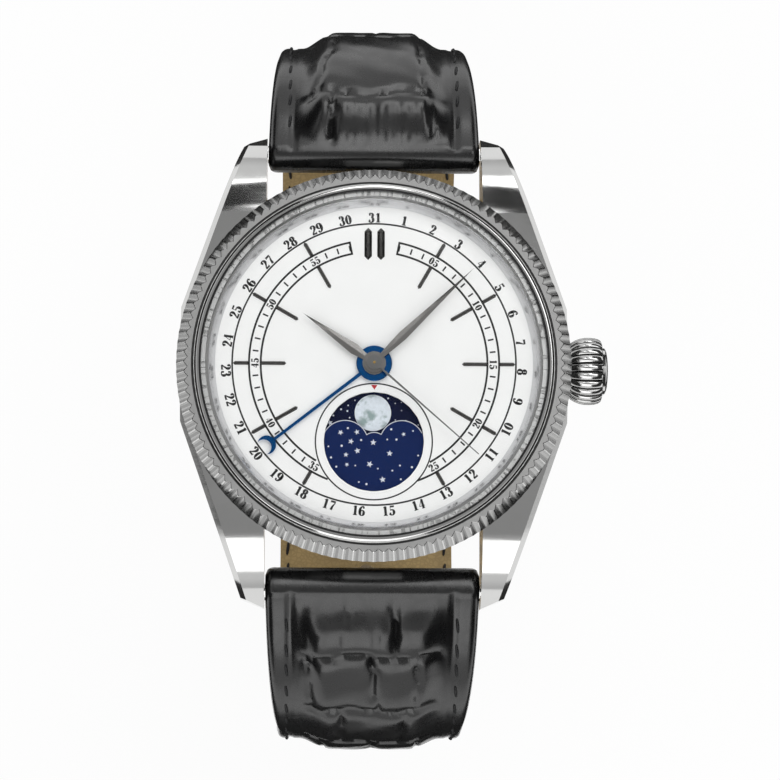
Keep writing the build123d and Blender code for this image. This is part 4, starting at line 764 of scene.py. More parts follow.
def numeral(figure):
    """Polygons of a figure in a bold, high-contrast face, one unit high and 0.62 wide."""
    thick, thin = 0.28, 0.1
    arcs = {
        "0": [((0.31, 0.5), 0.2, 0.46, 0, 360)],
        "2": [((0.31, 0.73), 0.18, 0.24, 170, -40)],
        "3": [((0.28, 0.75), 0.17, 0.22, 150, -90), ((0.28, 0.27), 0.22, 0.26, 90, -150)],
        "5": [((0.28, 0.3), 0.22, 0.28, 125, -155)],
        "6": [((0.32, 0.29), 0.2, 0.27, 0, 360), ((0.42, 0.46), 0.32, 0.5, 75, 200)],
        "8": [((0.31, 0.76), 0.16, 0.21, 0, 360), ((0.31, 0.27), 0.2, 0.25, 0, 360)],
        "9": [((0.3, 0.71), 0.2, 0.27, 0, 360), ((0.2, 0.54), 0.32, 0.5, -105, 20)],
    }
    lines = {
        "1": [([(0.33, 0.03), (0.33, 0.98)], 0.26), ([(0.12, 0.04), (0.54, 0.04)], 0.08),
              ([(0.33, 0.93), (0.13, 0.83)], 0.09)],
        "2": [([(0.47, 0.6), (0.3, 0.34), (0.1, 0.12)], [0.22, 0.15, 0.09]),
              ([(0.07, 0.09), (0.57, 0.09)], 0.18), ([(0.54, 0.05), (0.56, 0.24)], 0.05)],
        "4": [([(0.42, 0.02), (0.42, 0.98)], 0.24), ([(0.4, 0.96), (0.05, 0.3)], 0.06),
              ([(0.04, 0.28), (0.6, 0.28)], 0.07), ([(0.26, 0.03), (0.58, 0.03)], 0.06)],
        "5": [([(0.14, 0.91), (0.54, 0.91)], 0.18), ([(0.14, 0.96), (0.13, 0.5)], 0.05)],
        "7": [([(0.07, 0.9), (0.58, 0.9)], 0.2),
              ([(0.56, 0.84), (0.36, 0.4), (0.29, 0.02)], [0.07, 0.2, 0.27]),
              ([(0.1, 0.96), (0.09, 0.74)], 0.05)],
    }
    dots = {"2": [(0.16, 0.74)], "3": [(0.15, 0.8), (0.12, 0.2)], "5": [(0.12, 0.2)], "6": [(0.48, 0.84)],
            "9": [(0.14, 0.16)]}
    polygons = []
    for centre, across, up, start, end in arcs.get(figure, []):
        polygons += stroke(*loop_points(centre, across, up, start, end, thick, thin))
    for path, widths in lines.get(figure, []):
        polygons += stroke(path, widths)
    polygons += [dot(centre, 0.1) for centre in dots.get(figure, [])]
    return polygons


def number_at(number, clockwise, radius, height, outward_feet=False, advance=0.7):
    """Polygons of a number set on a circle round the dial's centre, upright at 12 o'clock."""
    width = advance * len(number)
    turn = math.radians(-clockwise + (180 if outward_feet else 0))
    centre = clock_point(radius, clockwise)
    polygons = []
    for place, figure in enumerate(number):
        for polygon in numeral(figure):
            moved = []
            for x, y in polygon:
                across = (x - 0.31 + (place + 0.5) * advance - width / 2) * height
                up = (y - 0.5) * height
                moved.append((centre[0] + across * math.cos(turn) - up * math.sin(turn),
                              centre[1] + across * math.sin(turn) + up * math.cos(turn)))
            polygons.append(moved)
    return polygons


def star(centre, size, turn):
    """A five-pointed star."""
    corners = []
    for corner in range(10):
        reach = size if corner % 2 == 0 else size * 0.4
        corners.append(polar(reach, 90 + 36 * corner + turn, centre))
    return corners


class WATCH_OT_dial(bpy.types.Operator):
    """White dial with its date circle, minute track, moon ring and red pointer"""
    bl_idname = "watch.dial"
    bl_label = "Dial and print"

    level = 8.865
    date_ring = 14.32
    date_radius = 14.95
    track_radii = (12.62, 11.44)
    track_width = 0.2
    minute_radius = 12.03
    opening = 11.5
    moon_ring = 5.88

    def track(self, radius):
        """A circle open at 12 o'clock and broken at the moon ring."""
        lines = []
        for part in range(int(360 - 2 * self.opening)):
            start = 90 + self.opening + part
            if math.dist(polar(radius, start + 1), WINDOW) > 6.0:
                lines += arc_line(radius, (0, 0), start, start + 1, self.track_width, 1)
        return lines

    def ticks(self):
        """Minute ticks, apart from the numbered minutes and those in the track's two openings."""
        lines = []
        for minute in range(60):
            middle = clock_point(self.minute_radius, 6 * minute)
            near_top = abs((6 * minute + 180) % 360 - 180) < 12
            if minute % 5 and not near_top and math.dist(middle, WINDOW) >= 6.15:
                lines += stroke([clock_point(radius, 6 * minute) for radius in (11.74, 12.32)], 0.16)
        return lines

    def execute(self, context):
        group = settings("dial")
        finish_nodes(lacquer("white_dial", group.face, 0.42), "dial")
        black = ink("dial_ink", group.ink)
        lines = arc_line(self.date_ring, (0, 0), 0, 360, 0.17, 240)
        for radius in self.track_radii:
            lines += self.track(radius)
        lines += arc_line(self.moon_ring, WINDOW, 0, 360, 0.14, 160)
        for side in (-self.opening, self.opening):
            lines += stroke([clock_point(radius, side) for radius in (11.34, 12.72)], self.track_width)
        lines += self.ticks()
        minute_height, date_height = group.minute_height / mm, group.date_height / mm
        minutes, dates = [], []
        for minute in list(range(5, 30, 5)) + list(range(35, 60, 5)):
            feet_out = 90 < 6 * minute < 270
            minutes += number_at(f"{minute:02d}", 6 * minute, self.minute_radius, minute_height, feet_out)
        for day in range(1, 32):
            clockwise = 360 * day / 31
            dates += number_at(str(day), clockwise, self.date_radius, date_height, 10 <= day <= 23)
        pointer = [[(-0.3, -2.16), (0.04, -2.64), (0.34, -2.16)]]
        for name, polygons, finish in (("dial_lines", lines, black), ("minute_numerals", minutes, black),
                                       ("date_numerals", dates, black),
                                       ("red_pointer", pointer, ink("pointer_red", group.red))):
            make_piece(name, *sheet(polygons, self.level), "case", finish, closed=False)
        profile = [(5.24, 8.85), (5.03, 8.85), (5.03, 8.868), (5.1, 8.885), (5.24, 8.885)]
        lip = turned(profile, 160, WINDOW, True)
        make_piece("window_lip", *lip, "case", lacquer("lip_white", group.face, 0.3))
        return {"FINISHED"}


class WATCH_OT_moon(bpy.types.Operator):
    """Star plate with its two humps, and the sky disc with its moons and stars"""
    bl_idname = "watch.moon"
    bl_label = "Moon window"

    # From the window's centre.
    big_stars = [(-2.3, 0.05), (-0.05, -0.05), (1.6, -1.15), (-2.7, -2.3), (-0.4, -2.25), (0.9, -3.8),
                 (-1.7, 1.0), (-3.35, 0.95), (3.0, 0.8), (-2.8, -1.3), (-1.65, -0.9)]
    moon_place = (-0.1, 2.98)
    plate_low = 8.24
    plate_high = 8.44
    spots_on_plate = 30
    spots_on_sky = 74

    def edge(self):
        """Upper edge of the plate from left to right, from the window's centre."""
        left = arc_through((-4.96, 0.95), (-2.75, 2.17), (-0.72, 0.72), 40)
        middle = arc_through((-0.72, 0.72), (0.02, 0.97), (0.75, 0.76), 12)
        right = arc_through((0.75, 0.76), (2.79, 2.18), (4.84, 0.93), 40)
        return left + middle[1:] + right[1:]

    def execute(self, context):
        group = settings("dial")
        centre_y = WINDOW[1]
        edge = self.edge()
        rim = round_outline(5.2, (0, 0), 90, 10.2, -190.2)
        outline = [(x, y + centre_y) for x, y in [(-5.12, 0.93)] + edge + rim]
        cover = lacquer("cover_blue", group.cover, 0.35, dimmed(group.cover, 2.2), 0.08)
        shape = plate(outline, self.plate_low, self.plate_high)
        make_piece("star_plate", *shape, "case", cover, 30, ("moon_cover",), "night_blue")
        pale = lacquer("star_silver", tone(218, 222, 232), 0.3)
        prints = stroke([(x, y + centre_y) for x, y in edge], 0.07)
        placed = random.Random(5)
        for x, y in self.big_stars:
            prints.append(star((x, y + centre_y), 0.24 + 0.12 * placed.random(), 72 * placed.random()))
        spots = list(self.big_stars)
        while len(spots) < self.spots_on_plate:
            x, y = placed.uniform(-4.6, 4.6), placed.uniform(-4.6, 1.5)
            under = y < 0.4 or min(math.hypot(x - 2.8, y), math.hypot(x + 2.8, y)) < 1.7
            if math.hypot(x, y) < 4.7 and under and min(math.dist((x, y), s) for s in spots) > 0.75:
                spots.append((x, y))
                prints.append(dot((x, y + centre_y), placed.uniform(0.07, 0.12), 8))
        make_piece("plate_stars", *sheet(prints, self.plate_high + 0.012), "case", pale, closed=False)
        sky = lacquer("sky_navy", group.sky, 0.4, dimmed(group.sky, 3), 0.08)
        finish_nodes(sky, "moon_disc")
        moon = moon_stone("moon_pale", group.moon)
        rim_pale = lacquer("moon_rim", tone(226, 232, 238), 0.3)
        profile = [(1.84, 8.152), (1.84, 8.17), (1.8, 8.18), (1.4, 8.195), (0.7, 8.203), (0, 8.205)]
        sides = 64
        moons = [(self.moon_place[0] * sign, self.moon_place[1] * sign) for sign in (1, -1)]
        for name, (x, y) in zip(("moon_face", "moon_face_far"), moons):
            dome = turned(profile, sides, (x, centre_y + y))
            bands = [1] * (2 * sides) + [0] * (3 * sides)
            make_piece(name, *dome, "moon", [moon, rim_pale], 40, face_finish=bands)
        lights = []
        spots = list(moons)
        far_off = [(9, 9)]
        while len(spots) < self.spots_on_sky:
            x, y = placed.uniform(-4.95, 4.95), placed.uniform(-4.95, 4.95)
            clear = min(math.dist((x, y), s) for s in moons) > 2.05
            apart = min(math.dist((x, y), s) for s in spots[2:] + far_off) > 0.5
            if 1.2 < math.hypot(x, y) < 5.0 and clear and apart:
                spots.append((x, y))
                size = placed.uniform(0.05, 0.11)
                place = (x, y + centre_y)
                lights.append(star(place, 0.3, 20) if len(spots) % 12 == 0 else dot(place, size, 8))
        make_piece("sky_stars", *sheet(lights, 8.158), "moon", pale, closed=False)
        return {"FINISHED"}


class WATCH_OT_hands(bpy.types.Operator):
    """Dark faceted hands and marks, and the blue date hand with its crescent"""
    bl_idname = "watch.hands"
    bl_label = "Hands and marks"

    day = 20

    def execute(self, context):
        group = settings("metal")
        finish_nodes(metal("hand_steel", group.dark, 0.3, None, 0.06), "hour_hand", "minute_hand")
        finish_nodes(metal("mark_steel", dimmed(group.dark, 0.36), 0.26, None, 0.06), "hour_marks")
        finish_nodes(metal("needle_steel", dimmed(group.steel, 0.3), 0.3), "second_hand")
        low, high = (corner.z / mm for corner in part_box("date_hand"))
        turn = math.radians(90 - 360 * self.day / 31)
        hub = turned([(0.86, low), (1.76, low), (1.8, low + 0.03), (1.8, high - 0.03), (1.76, high),
                      (0.86, high)], 72, closed=True)
        stem = [(1.7, -0.17), (12.72, -0.15), (12.72, 0.15), (1.7, 0.17)]
        outer = round_outline(0.95, (13.62, 0), 40, 48, 312)
        inner = round_outline(0.78, (14.0, 0), 30, 283, 77)
        shapes = [hub]
        for outline in (stem, outer + inner):
            laid = [(x * math.cos(turn) - y * math.sin(turn), x * math.sin(turn) + y * math.cos(turn))
                    for x, y in outline]
            shapes.append(plate(laid, low, high))
        finish = metal("blued_steel", group.blue, 0.18, None, 0.06)
        make_piece("date_hand_blued", *joined(*shapes), "date", finish, 30, ("date_hand",), "blue_steel")
        return {"FINISHED"}


class WATCH_OT_movement(bpy.types.Operator):
    """Gilt wheels, striped nickel plates, jewels and the weighted rotor"""
    bl_idname = "watch.movement"
    bl_label = "Movement"

    def execute(self, context):
        group = settings("metal")
        gilt = metal("gilt_brass", group.gilt, 0.2, (1, 1, 0.3), 0.08)
        nickel = striped_nickel("striped_nickel", tone(208, 208, 204))
        frosted = beaded_metal("frosted_nickel", tone(190, 190, 186))
        steel = metal("arbor_steel", dimmed(group.steel, 0.8), 0.12)
        finish_nodes(gilt, "centre_wheel", "third_wheel", "great_wheel", "seconds_wheel", "escape_wheel",
                     "balance_wheel", "date_wheel", "hour_wheel", "minute_wheel", "barrel")
        finish_nodes(nickel, "train_bridge", "balance_cock", "pallet_bridge", "rotor")
        finish_nodes(frosted, "main_plate", "movement_holder")
        finish_nodes(steel, "barrel_arbor", "pallet_fork", "ratchet_wheel", "crown_wheel", "winding_pinion",
                     "clutch_wheel", "cannon_pinion")
        finish_nodes(metal("spring_blue", group.blue, 0.2), "hairspring")
        finish_nodes(ruby("ruby_jewels"), "jewels")
        return {"FINISHED"}


# Strap


def smooth_step(share):
    """Soft step from 0 to 1 while the share goes from 0 to 1."""
    share = min(1, max(0, share))
    return share * share * (3 - 2 * share)


def bell(distance, width):
    """Bell curve: 1 at no distance, nearly 0 at twice the width."""
    return math.exp(-(distance / width) ** 2)


class StrapRun:
    """The strap's path in Y and Z from the spring bar on, with its stations a short step apart."""

    start = (22.6, 2.6)
    # How far the strap runs out and down from the spring bar to its widest point, and its bend below that.
    side_run = 13.2
    side_fall = 16.6
    under_radius = 27.0
    side_radius = (side_run ** 2 + side_fall ** 2) / (2 * side_run)
    side_angle = math.degrees(math.atan2(side_fall, side_radius - side_run))
    pad_under = 44
    step = 0.45
    lug_half_width = 10.88
    narrowing = 1.15
    narrowing_fall = 13.0

    def __init__(self, moves):
        y, z = self.start
        heading, run = self.side_angle - 90, 0.0
        self.stations = [(y, z, heading + 90, run)]
        for radius, amount in [(self.side_radius, self.side_angle), (self.under_radius, 90)] + moves:
            length = abs(radius * math.radians(amount)) if radius else amount
            count = max(1, math.ceil(length / self.step))
            for _ in range(count):
                turn = amount / count if radius else 0
                chord = 2 * radius * math.sin(math.radians(abs(turn)) / 2) if radius else amount / count
                y += chord * math.cos(math.radians(heading - turn / 2))
                z += chord * math.sin(math.radians(heading - turn / 2))
                heading -= turn
                run += length / count
                self.stations.append((y, z, heading + 90, run))
        self.length = run
        self.pad_end = (math.radians(self.side_angle) * self.side_radius
                        + math.radians(self.pad_under) * self.under_radius)

    def at(self, run):
        """Station at a distance along the path."""
        index = min(range(len(self.stations)), key=lambda k: abs(self.stations[k][3] - run))
        return self.stations[index]

    def half_width(self, z):
        """Half the strap's width at a height: wide at the lugs, narrow some way below."""
        share = min(1, max(0, (self.start[1] - z) / self.narrowing_fall))
        return self.lug_half_width - self.narrowing * share


def short_run():
    """Path of the 12 o'clock half, up to the buckle bar."""
    return StrapRun([(0, 7.8)])


def long_run():
    """Path of the 6 o'clock half, through the buckle and outside the other half."""
    angle, radius = 28, 5.0
    step_out, flat = 3.3, 17.6
    bend = math.radians(angle)
    slope = (step_out - 2 * radius * (1 - math.cos(bend))) / math.sin(bend)
    rest = flat - 2 * radius * math.sin(bend) - slope * math.cos(bend)
    wrap = (StrapRun.under_radius + step_out, 44)
    return StrapRun([(radius, -angle), (0, slope), (radius, angle), (0, rest), wrap])


class Leather:
    """Outer leather of one half: padded middle, stitched margins and the folds of its scales."""

    seam = 8.35
    fold_reach = 8.5
    tail_length = 6

    def __init__(self, run, side, folds):
        self.run, self.side, self.folds = run, side, folds
        self.tail = side < 0
        self.rise = settings("strap").pad_rise / mm + (0.3 if side > 0 else -0.3)
        self.edge = 1.35 if side > 0 else 1.15

    def half_width(self, z, along):
        wide = self.run.half_width(z)
        if self.tail and along > self.run.length - self.tail_length:
            wide -= along - self.run.length + self.tail_length
        return wide

    def pad(self, across, along):
        """How far the padded middle stands up there."""
        narrowed = min(1, along / 14)
        flank = (abs(across) - 5.5 + 1.4 * narrowed) / (3.1 + 0.3 * narrowed)
        smooth = smooth_step(along / 4.5) * smooth_step((self.run.pad_end - along) / 9)
        return self.rise * smooth * (1 - smooth_step(flank))

    def fold_depth(self, across, along):
        """Depth of the creases between the leather's large scales."""
        if abs(across) > self.fold_reach:
            return 0
        depth = 0
        for row, (end, creases) in enumerate(self.folds):
            start = self.folds[row - 1][0] if row else 0
            gap = along - end - 0.3 * math.sin(across * 0.8 + end)
            depth = max(depth, 0.36 * bell(gap, 0.17) + 0.2 * bell(gap, 0.7))
            if start - 0.3 <= along <= end + 0.3:
                share = (along - start) / (end - start)
                for first, last, cut in creases:
                    gap = across - first - (last - first) * share - 0.12 * math.sin(along * 1.7 + first)
                    depth = max(depth, cut * (0.34 * bell(gap, 0.16) + 0.12 * bell(gap, 0.6)))
        return depth * (1 - (abs(across) / self.fold_reach) ** 6)

    def height(self, across, along, top):
        """Height of the outer face above the path."""
        seam = 0.16 * bell(abs(across) - self.seam, 0.3)
        ripple = 0.05 * math.sin(across * 1.3 + along * 0.7) * math.sin(along * 1.1 - across * 0.4)
        padded = self.pad(across, along)
        return top + padded - seam + (ripple - self.fold_depth(across, along)) * min(1, padded * 3)

    def section(self, y, z, normal, along, low, top, plain=False):
        """Closed outline of one section as (point, place) pairs."""
        wide = self.half_width(z, along)
        columns = 64
        rounding = 0.8
        outline = []
        for column in range(columns + 1):
            even = wide * (2 * column / columns - 1)
            crowded = wide * math.sin(math.pi * (column / columns - 0.5))
            across = crowded * 0.35 + even * 0.65
            edge = max(0, abs(across) - (wide - rounding)) / rounding
            drop = rounding * (1 - math.sqrt(max(0, 1 - edge * edge)))
            face = top if plain else self.height(across, along, top)
            outline.append((across, face - drop))
        for column in range(7):
            across = (wide - 0.02) * (1 - column / 3)
            outline.append((across, low + (0.12 if column in (0, 6) else 0)))
        out_y, out_z = polar(1, normal)
        return [((across, self.side * (y + offset * out_y), z + offset * out_z), (across, along, offset))
                for across, offset in outline]

    def sections(self, roll_low, roll_top, loop=None):
        """All sections: the roll round the spring bar, the run, and the loop round the buckle bar."""
        y, z, normal, _ = self.run.stations[0]
        bulge = 0 if self.side > 0 else 0.62
        rows = []
        for k in range(25):
            turned_to = normal + 250 - 10 * k
            reach = roll_top + bulge * max(0, -math.cos(math.radians(turned_to))) ** 2
            rows.append(self.section(y, z, turned_to, 10 * k * 0.03 - 7.5, roll_low, reach, True))
        length = self.run.length
        for y, z, normal, along in self.run.stations:
            low = math.sqrt(roll_low ** 2 - along ** 2) if along < roll_low else -0.2
            top = self.edge + (roll_top - self.edge) * max(0, 1 - along / 3) ** 2
            if loop:
                left = length - along
                low = math.sqrt(loop[0] ** 2 - left ** 2) if left < loop[0] else low
                top += (loop[1] - self.edge) * max(0, 1 - left / 3) ** 2
            rows.append(self.section(y, z, normal, along, low, top))
        if loop:
            y, z, normal, along = self.run.stations[-1]
            rows += [self.section(y, z, normal - 10 * k, length + 0.3 * k, *loop, True) for k in range(1, 25)]
        return rows

    def mesh(self, rows):
        columns = len(rows[0])
        points = [point for row in rows for point, _ in row]
        place = [spot for row in rows for _, spot in row]
        return *capped(points, row_faces(len(rows), columns), columns), place


def cut_away(piece, cutters):
    """Takes solids out of a piece and removes them."""
    for number, cutter in enumerate(cutters):
        cut = piece.modifiers.new(f"cut_{number}", "BOOLEAN")
        cut.operation = "DIFFERENCE"
        cut.solver = "EXACT"
        cut.object = cutter
    bpy.context.view_layer.update()
    shaped = bpy.data.meshes.new_from_object(piece.evaluated_get(bpy.context.evaluated_depsgraph_get()))
    piece.modifiers.clear()
    piece.data = shaped
    for cutter in cutters:
        bpy.data.objects.remove(cutter)


def cutter(points, faces):
    """A solid, in millimetres, that cut_away takes out of a piece."""
    mesh = new_mesh("cutter", points, faces)
    face_outwards(mesh)
    return new_object("cutter", mesh)


def block(low, high):
    """An upright box between two corners, for cutting."""
    corners = [(low[0], low[1]), (high[0], low[1]), (high[0], high[1]), (low[0], high[1])]
    return plate(corners, low[2], high[2])


def hole_cutters():
    """Adjusting holes on both sides of the buckle and the slot for its tongue, in the 6 o'clock half."""
    solids = [block((-1.15, -7.7, -52), (1.15, -1.2, -36.5))]
    spacing, sides = 13, 20
    for sign in (-1, 1):
        for index in range(3):
            direction = math.radians(-90 + spacing * (index + 0.5) * sign)
            y, z = LOOP_CENTRE.y * sign, LOOP_CENTRE.z
            points = []
            for reach in (24.0, 34.0):
                for x, t in round_outline(0.9, sides=sides):
                    points.append((x, -(y + reach * math.cos(direction) - t * math.sin(direction)),
                                   z + reach * math.sin(direction) + t * math.cos(direction)))
            solids.append(capped(points, row_faces(2, sides), sides))
    return [cutter(*solid) for solid in solids]


def stitch_row(leather, across, start, end, pitch, inner=None):
    """Stitches along the strap at one distance from its middle, on the outer face or at a given height."""
    shapes = []
    run = leather.run
    along = start
    while along + pitch * 0.7 < end:
        y, z, normal, _ = run.at(along + pitch * 0.35)
        height = leather.height(across, along, leather.edge) + 0.06 if inner is None else inner
        out_y, out_z = polar(1, normal)
        ring_points = []
        for share, size in ((0, 0.02), (0.12, 0.14), (0.5, 0.17), (0.88, 0.14), (1, 0.02)):
            slide = (share - 0.5) * pitch * 0.68
            lift = height - 0.1 * (2 * share - 1) ** 2 * (1 if inner is None else -1)
            for corner in range(6):
                angle = math.pi * corner / 3
                t = lift + size * math.sin(angle)
                ring_points.append((across + size * math.cos(angle) + 0.1 * slide,
                                    leather.side * (y + t * out_y + slide * out_z),
                                    z + t * out_z - slide * out_y))
        shapes.append((ring_points, row_faces(5, 6)))
        along += pitch
    return shapes


# Rows of scales: where the row ends along the strap, and the start, end and depth of the creases in it.
folds_short = [
    (5.4, [(-4.4, -4.2, 1), (6.5, 5.6, 0.9), (-2.4, -2.2, 0.25), (-0.9, -1.0, 0.2), (0.1, 0.0, 0.3),
           (1.6, 1.4, 0.25), (2.7, 2.4, 0.3), (3.9, 4.3, 0.3)]),
    (16.5, [(-6.2, -3.4, 1), (5.2, 4.6, 1)]),
    (23.4, [(-5.0, -4.6, 1), (0.4, 0.2, 0.35), (5.2, 4.8, 0.9)]),
    (30.0, [(-2.6, -3.0, 1), (2.9, 3.3, 1)]),
    (37.2, [(-4.4, -4.0, 1), (0.6, 0.2, 0.9), (4.6, 4.2, 1)]),
    (44.0, [(-2.4, -2.8, 1), (3.2, 2.8, 1)]),
]
folds_long = [
    (6.1, [(2.3, 2.4, 1), (-7.4, -6.6, 0.6), (-2.4, -2.7, 0.35), (0.2, 0.4, 0.3)]),
    (12.6, [(0.1, 0.7, 1), (-6.4, -6.2, 1), (4.9, 4.6, 0.9)]),
    (19.0, [(-3.2, -2.8, 1), (3.6, 3.2, 1)]),
    (26.0, [(-5.0, -4.8, 1), (0.4, 0.0, 1), (4.8, 5.0, 0.9)]),
    (32.6, [(-2.8, -2.4, 1), (2.6, 3.0, 1)]),
    (39.2, [(-4.6, -4.2, 1), (0.2, 0.6, 0.9), (4.4, 4.8, 1)]),
    (45.0, [(-2.6, -2.2, 1), (3.0, 3.4, 1)]),
]


class WATCH_OT_strap(bpy.types.Operator):
    """Both padded leather halves with their folds, rolled ends, holes and stitches"""
    bl_idname = "watch.strap"
    bl_label = "Strap leather"

    def execute(self, context):
        group = settings("strap")
        skin = crocodile_leather("strap_leather", group.leather, "strap_place")
        thread = waxed_thread("strap_thread", group.thread)
        pitch = group.stitch / mm
        for name, node, run, side, folds in (("strap_12", "strap_short", short_run(), 1, folds_short),
                                             ("strap_6", "strap_long", long_run(), -1, folds_long)):
            half = Leather(run, side, folds)
            points, faces, place = half.mesh(half.sections(0.97, 1.85, (0.82, 1.75) if side > 0 else None))
            piece = make_piece(name, points, faces, "case", skin, 50, (node,), "black_leather", place=place)
            if side > 0:
                cut_away(piece, [cutter(*block((-1.0, -2.3, -44.4), (1.0, 2.75, -37.6)))])
            else:
                cut_away(piece, hole_cutters())
            end = run.length - (5 if side > 0 else 8)
            rows = []
            for across in (8.7, -8.7):
                rows += stitch_row(half, across, 2.4, end, pitch)
            make_piece(name + "_stitches", *joined(*rows), "case", thread, 60)
        return {"FINISHED"}


class WATCH_OT_lining(bpy.types.Operator):
    """Tan linings with their stitches"""
    bl_idname = "watch.lining"
    bl_label = "Strap lining"

    def execute(self, context):
        group = settings("strap")
        tan = calf_lining("strap_lining", group.lining, "strap_place")
        thread = waxed_thread("lining_thread", group.thread)
        for name, node, run, side in (("lining_12", "lining_short", short_run(), 1),
                                      ("lining_6", "lining_long", long_run(), -1)):
            half = Leather(run, side, [])
            end = run.length - (1.85 if side > 0 else 0)
            rows = []
            for y, z, normal, along in run.stations:
                if 1.95 <= along <= end:
                    rows.append(half.section(y, z, normal, along, -1.1, -0.21, True))
            points, faces, place = half.mesh(rows)
            piece = make_piece(name, points, faces, "case", tan, 50, (node,), "tan_leather", place=place)
            if side < 0:
                cut_away(piece, hole_cutters())
            rows = []
            for across in (-8.9, 8.9):
                rows += stitch_row(half, across, 3.0, end - 3, group.stitch / mm, -1.12)
            make_piece(name + "_stitches", *joined(*rows), "case", thread, 60)
        return {"FINISHED"}


def leather_loop(low_z, high_z):
    """A stitched keeper loop with rounded corners, its width along Y, round the middle of a rectangle."""
    thick, gap, corner = 0.55, 0.35, 1.5
    half = 10.35 + thick
    low, high = low_z - gap - thick, high_z + gap + thick
    path = []
    for x, z, start in ((half - corner, high - corner, 0), (-half + corner, high - corner, 90),
                        (-half + corner, low + corner, 180), (half - corner, low + corner, 270)):
        for step in range(9):
            angle = start + 90 * step / 8
            path.append((*polar(corner, angle, (x, z)), *polar(1, angle)))
    outline = []
    for angle in range(0, 360, 15):
        across, out = polar(1, angle)
        outline.append((2.3 * math.copysign(abs(across) ** 0.3, across),
                        0.54 * math.copysign(abs(out) ** 0.5, out)))
    points = [(x + nx * out, y, z + nz * out) for x, z, nx, nz in path for y, out in outline]
    return points, row_faces(len(path), len(outline), wrap_rows=True)


class WATCH_OT_keepers(bpy.types.Operator):
    """Fixed keeper beside the buckle and free keeper on the tail"""
    bl_idname = "watch.keepers"
    bl_label = "Keepers"

    def execute(self, context):
        skin = crocodile_leather("keeper_leather", settings("strap").leather, None, 0.8)
        for name, node, body, low, high, degrees, place in (
                ("keeper_fixed", "fixed_keeper", "case", -4.9, 1.1, 0, Vector((0, 7.0, BUCKLE_BAR.z))),
                ("keeper_free", "free_keeper", "keeper", -31.9, -25.9, 28, LOOP_CENTRE)):
            points, faces = leather_loop(low, high)
            tilt = Matrix.Rotation(math.radians(degrees), 3, "X")
            points = [tuple(tilt @ Vector(point) + place) for point in points]
            keeper = make_piece(name, points, faces, body, skin, 50, (node,), "black_leather")
        return {"FINISHED"}


def rounded_bar(stations, columns=24, squareness=0.55):
    """A bar swept through (centre, half width, half height, first axis, second axis) stations."""
    points = []
    for centre, wide, tall, first, second in stations:
        for column in range(columns):
            angle = 2 * math.pi * column / columns
            a = wide * math.copysign(abs(math.cos(angle)) ** squareness, math.cos(angle))
            b = tall * math.copysign(abs(math.sin(angle)) ** squareness, math.sin(angle))
            points.append(tuple(Vector(centre) + Vector(first) * a + Vector(second) * b))
    return capped(points, row_faces(len(stations), columns), columns)


def cross_ring(start, end, outer=1.5, inner=0.8):
    """A ring with rounded edges on an axis along X through the origin."""
    edge = 0.12
    profile = [(inner, start), (outer - edge, start), (outer, start + edge), (outer, end - edge),
               (outer - edge, end), (inner, end)]
    points, faces = turned(profile, 48, closed=True)
    return [(z, x, y) for x, y, z in points], faces


class WATCH_OT_buckle(bpy.types.Operator):
    """Pin buckle: rounded frame and its tongue"""
    bl_idname = "watch.buckle"
    bl_label = "Buckle"

    front_y = -11.6
    tilt = math.atan2(2.75, -front_y)

    def placed(self, shape):
        """The shape turned about the buckle bar and set on it."""
        turn = Matrix.Rotation(self.tilt, 3, "X")
        return [tuple(turn @ Vector(point) + BUCKLE_BAR) for point in shape[0]], shape[1]

    def execute(self, context):
        shine = metal("buckle_steel", settings("metal").steel, 0.1, None, 0.06)
        x_axis, y_axis, z_axis = (1, 0, 0), (0, 1, 0), (0, 0, 1)
        front = []
        for x in (-12.2, -12.1, -11.8, -10.5, -6, 0, 6, 10.5, 11.8, 12.1, 12.2):
            size = 0.99 * math.sqrt(max(0.2, 1 - max(0, abs(x) - 11.5) ** 2 / 0.6))
            front.append(((x, self.front_y, 0), size, size, y_axis, z_axis))
        shapes = [rounded_bar(front, squareness=1.0)]
        for side in (-1, 1):
            arm = [((side * 11.35, y, 0), 0.84, tall, x_axis, z_axis)
                   for y, tall in ((-11.7, 0.9), (-10.6, 0.93), (-6, 0.9), (-1.8, 0.95), (-0.95, 1.0))]
            low, high = sorted((side * 10.5, side * 12.2))
            shapes += [rounded_bar(arm), cross_ring(low, high)]
        frame_shape = self.placed(joined(*shapes))
        make_piece("buckle_rounded", *frame_shape, "buckle", shine, 35, ("buckle_frame",), "polished_steel")
        blade = []
        for y, z, wide, tall in ((-0.95, -0.12, 0.8, 0.45), (-3, -0.4, 0.82, 0.48), (-6, -0.85, 0.84, 0.49),
                                 (-9, -1.35, 0.84, 0.47), (-10.6, -1.55, 0.84, 0.44),
                                 (-12.4, -1.56, 0.82, 0.42), (-13.0, -1.55, 0.66, 0.34),
                                 (-13.2, -1.53, 0.4, 0.2)):
            blade.append(((0, y, z), wide, tall, x_axis, z_axis))
        tongue = self.placed(joined(rounded_bar(blade), cross_ring(-0.85, 0.85)))
        make_piece("buckle_pin", *tongue, "tongue", shine, 35, ("buckle_tongue",), "polished_steel")
        return {"FINISHED"}


# Stage


def soft_lamp(name, place, power):
    """A square soft lamp that looks at the watch."""
    lamp = bpy.data.lights.new(name, "AREA")
    lamp.shape = "SQUARE"
    lamp.size = 0.45
    lamp.energy = power
    holder = new_object(name, lamp)
    holder.location = place
    holder.rotation_euler = (-Vector(place)).to_track_quat("-Z", "Y").to_euler()


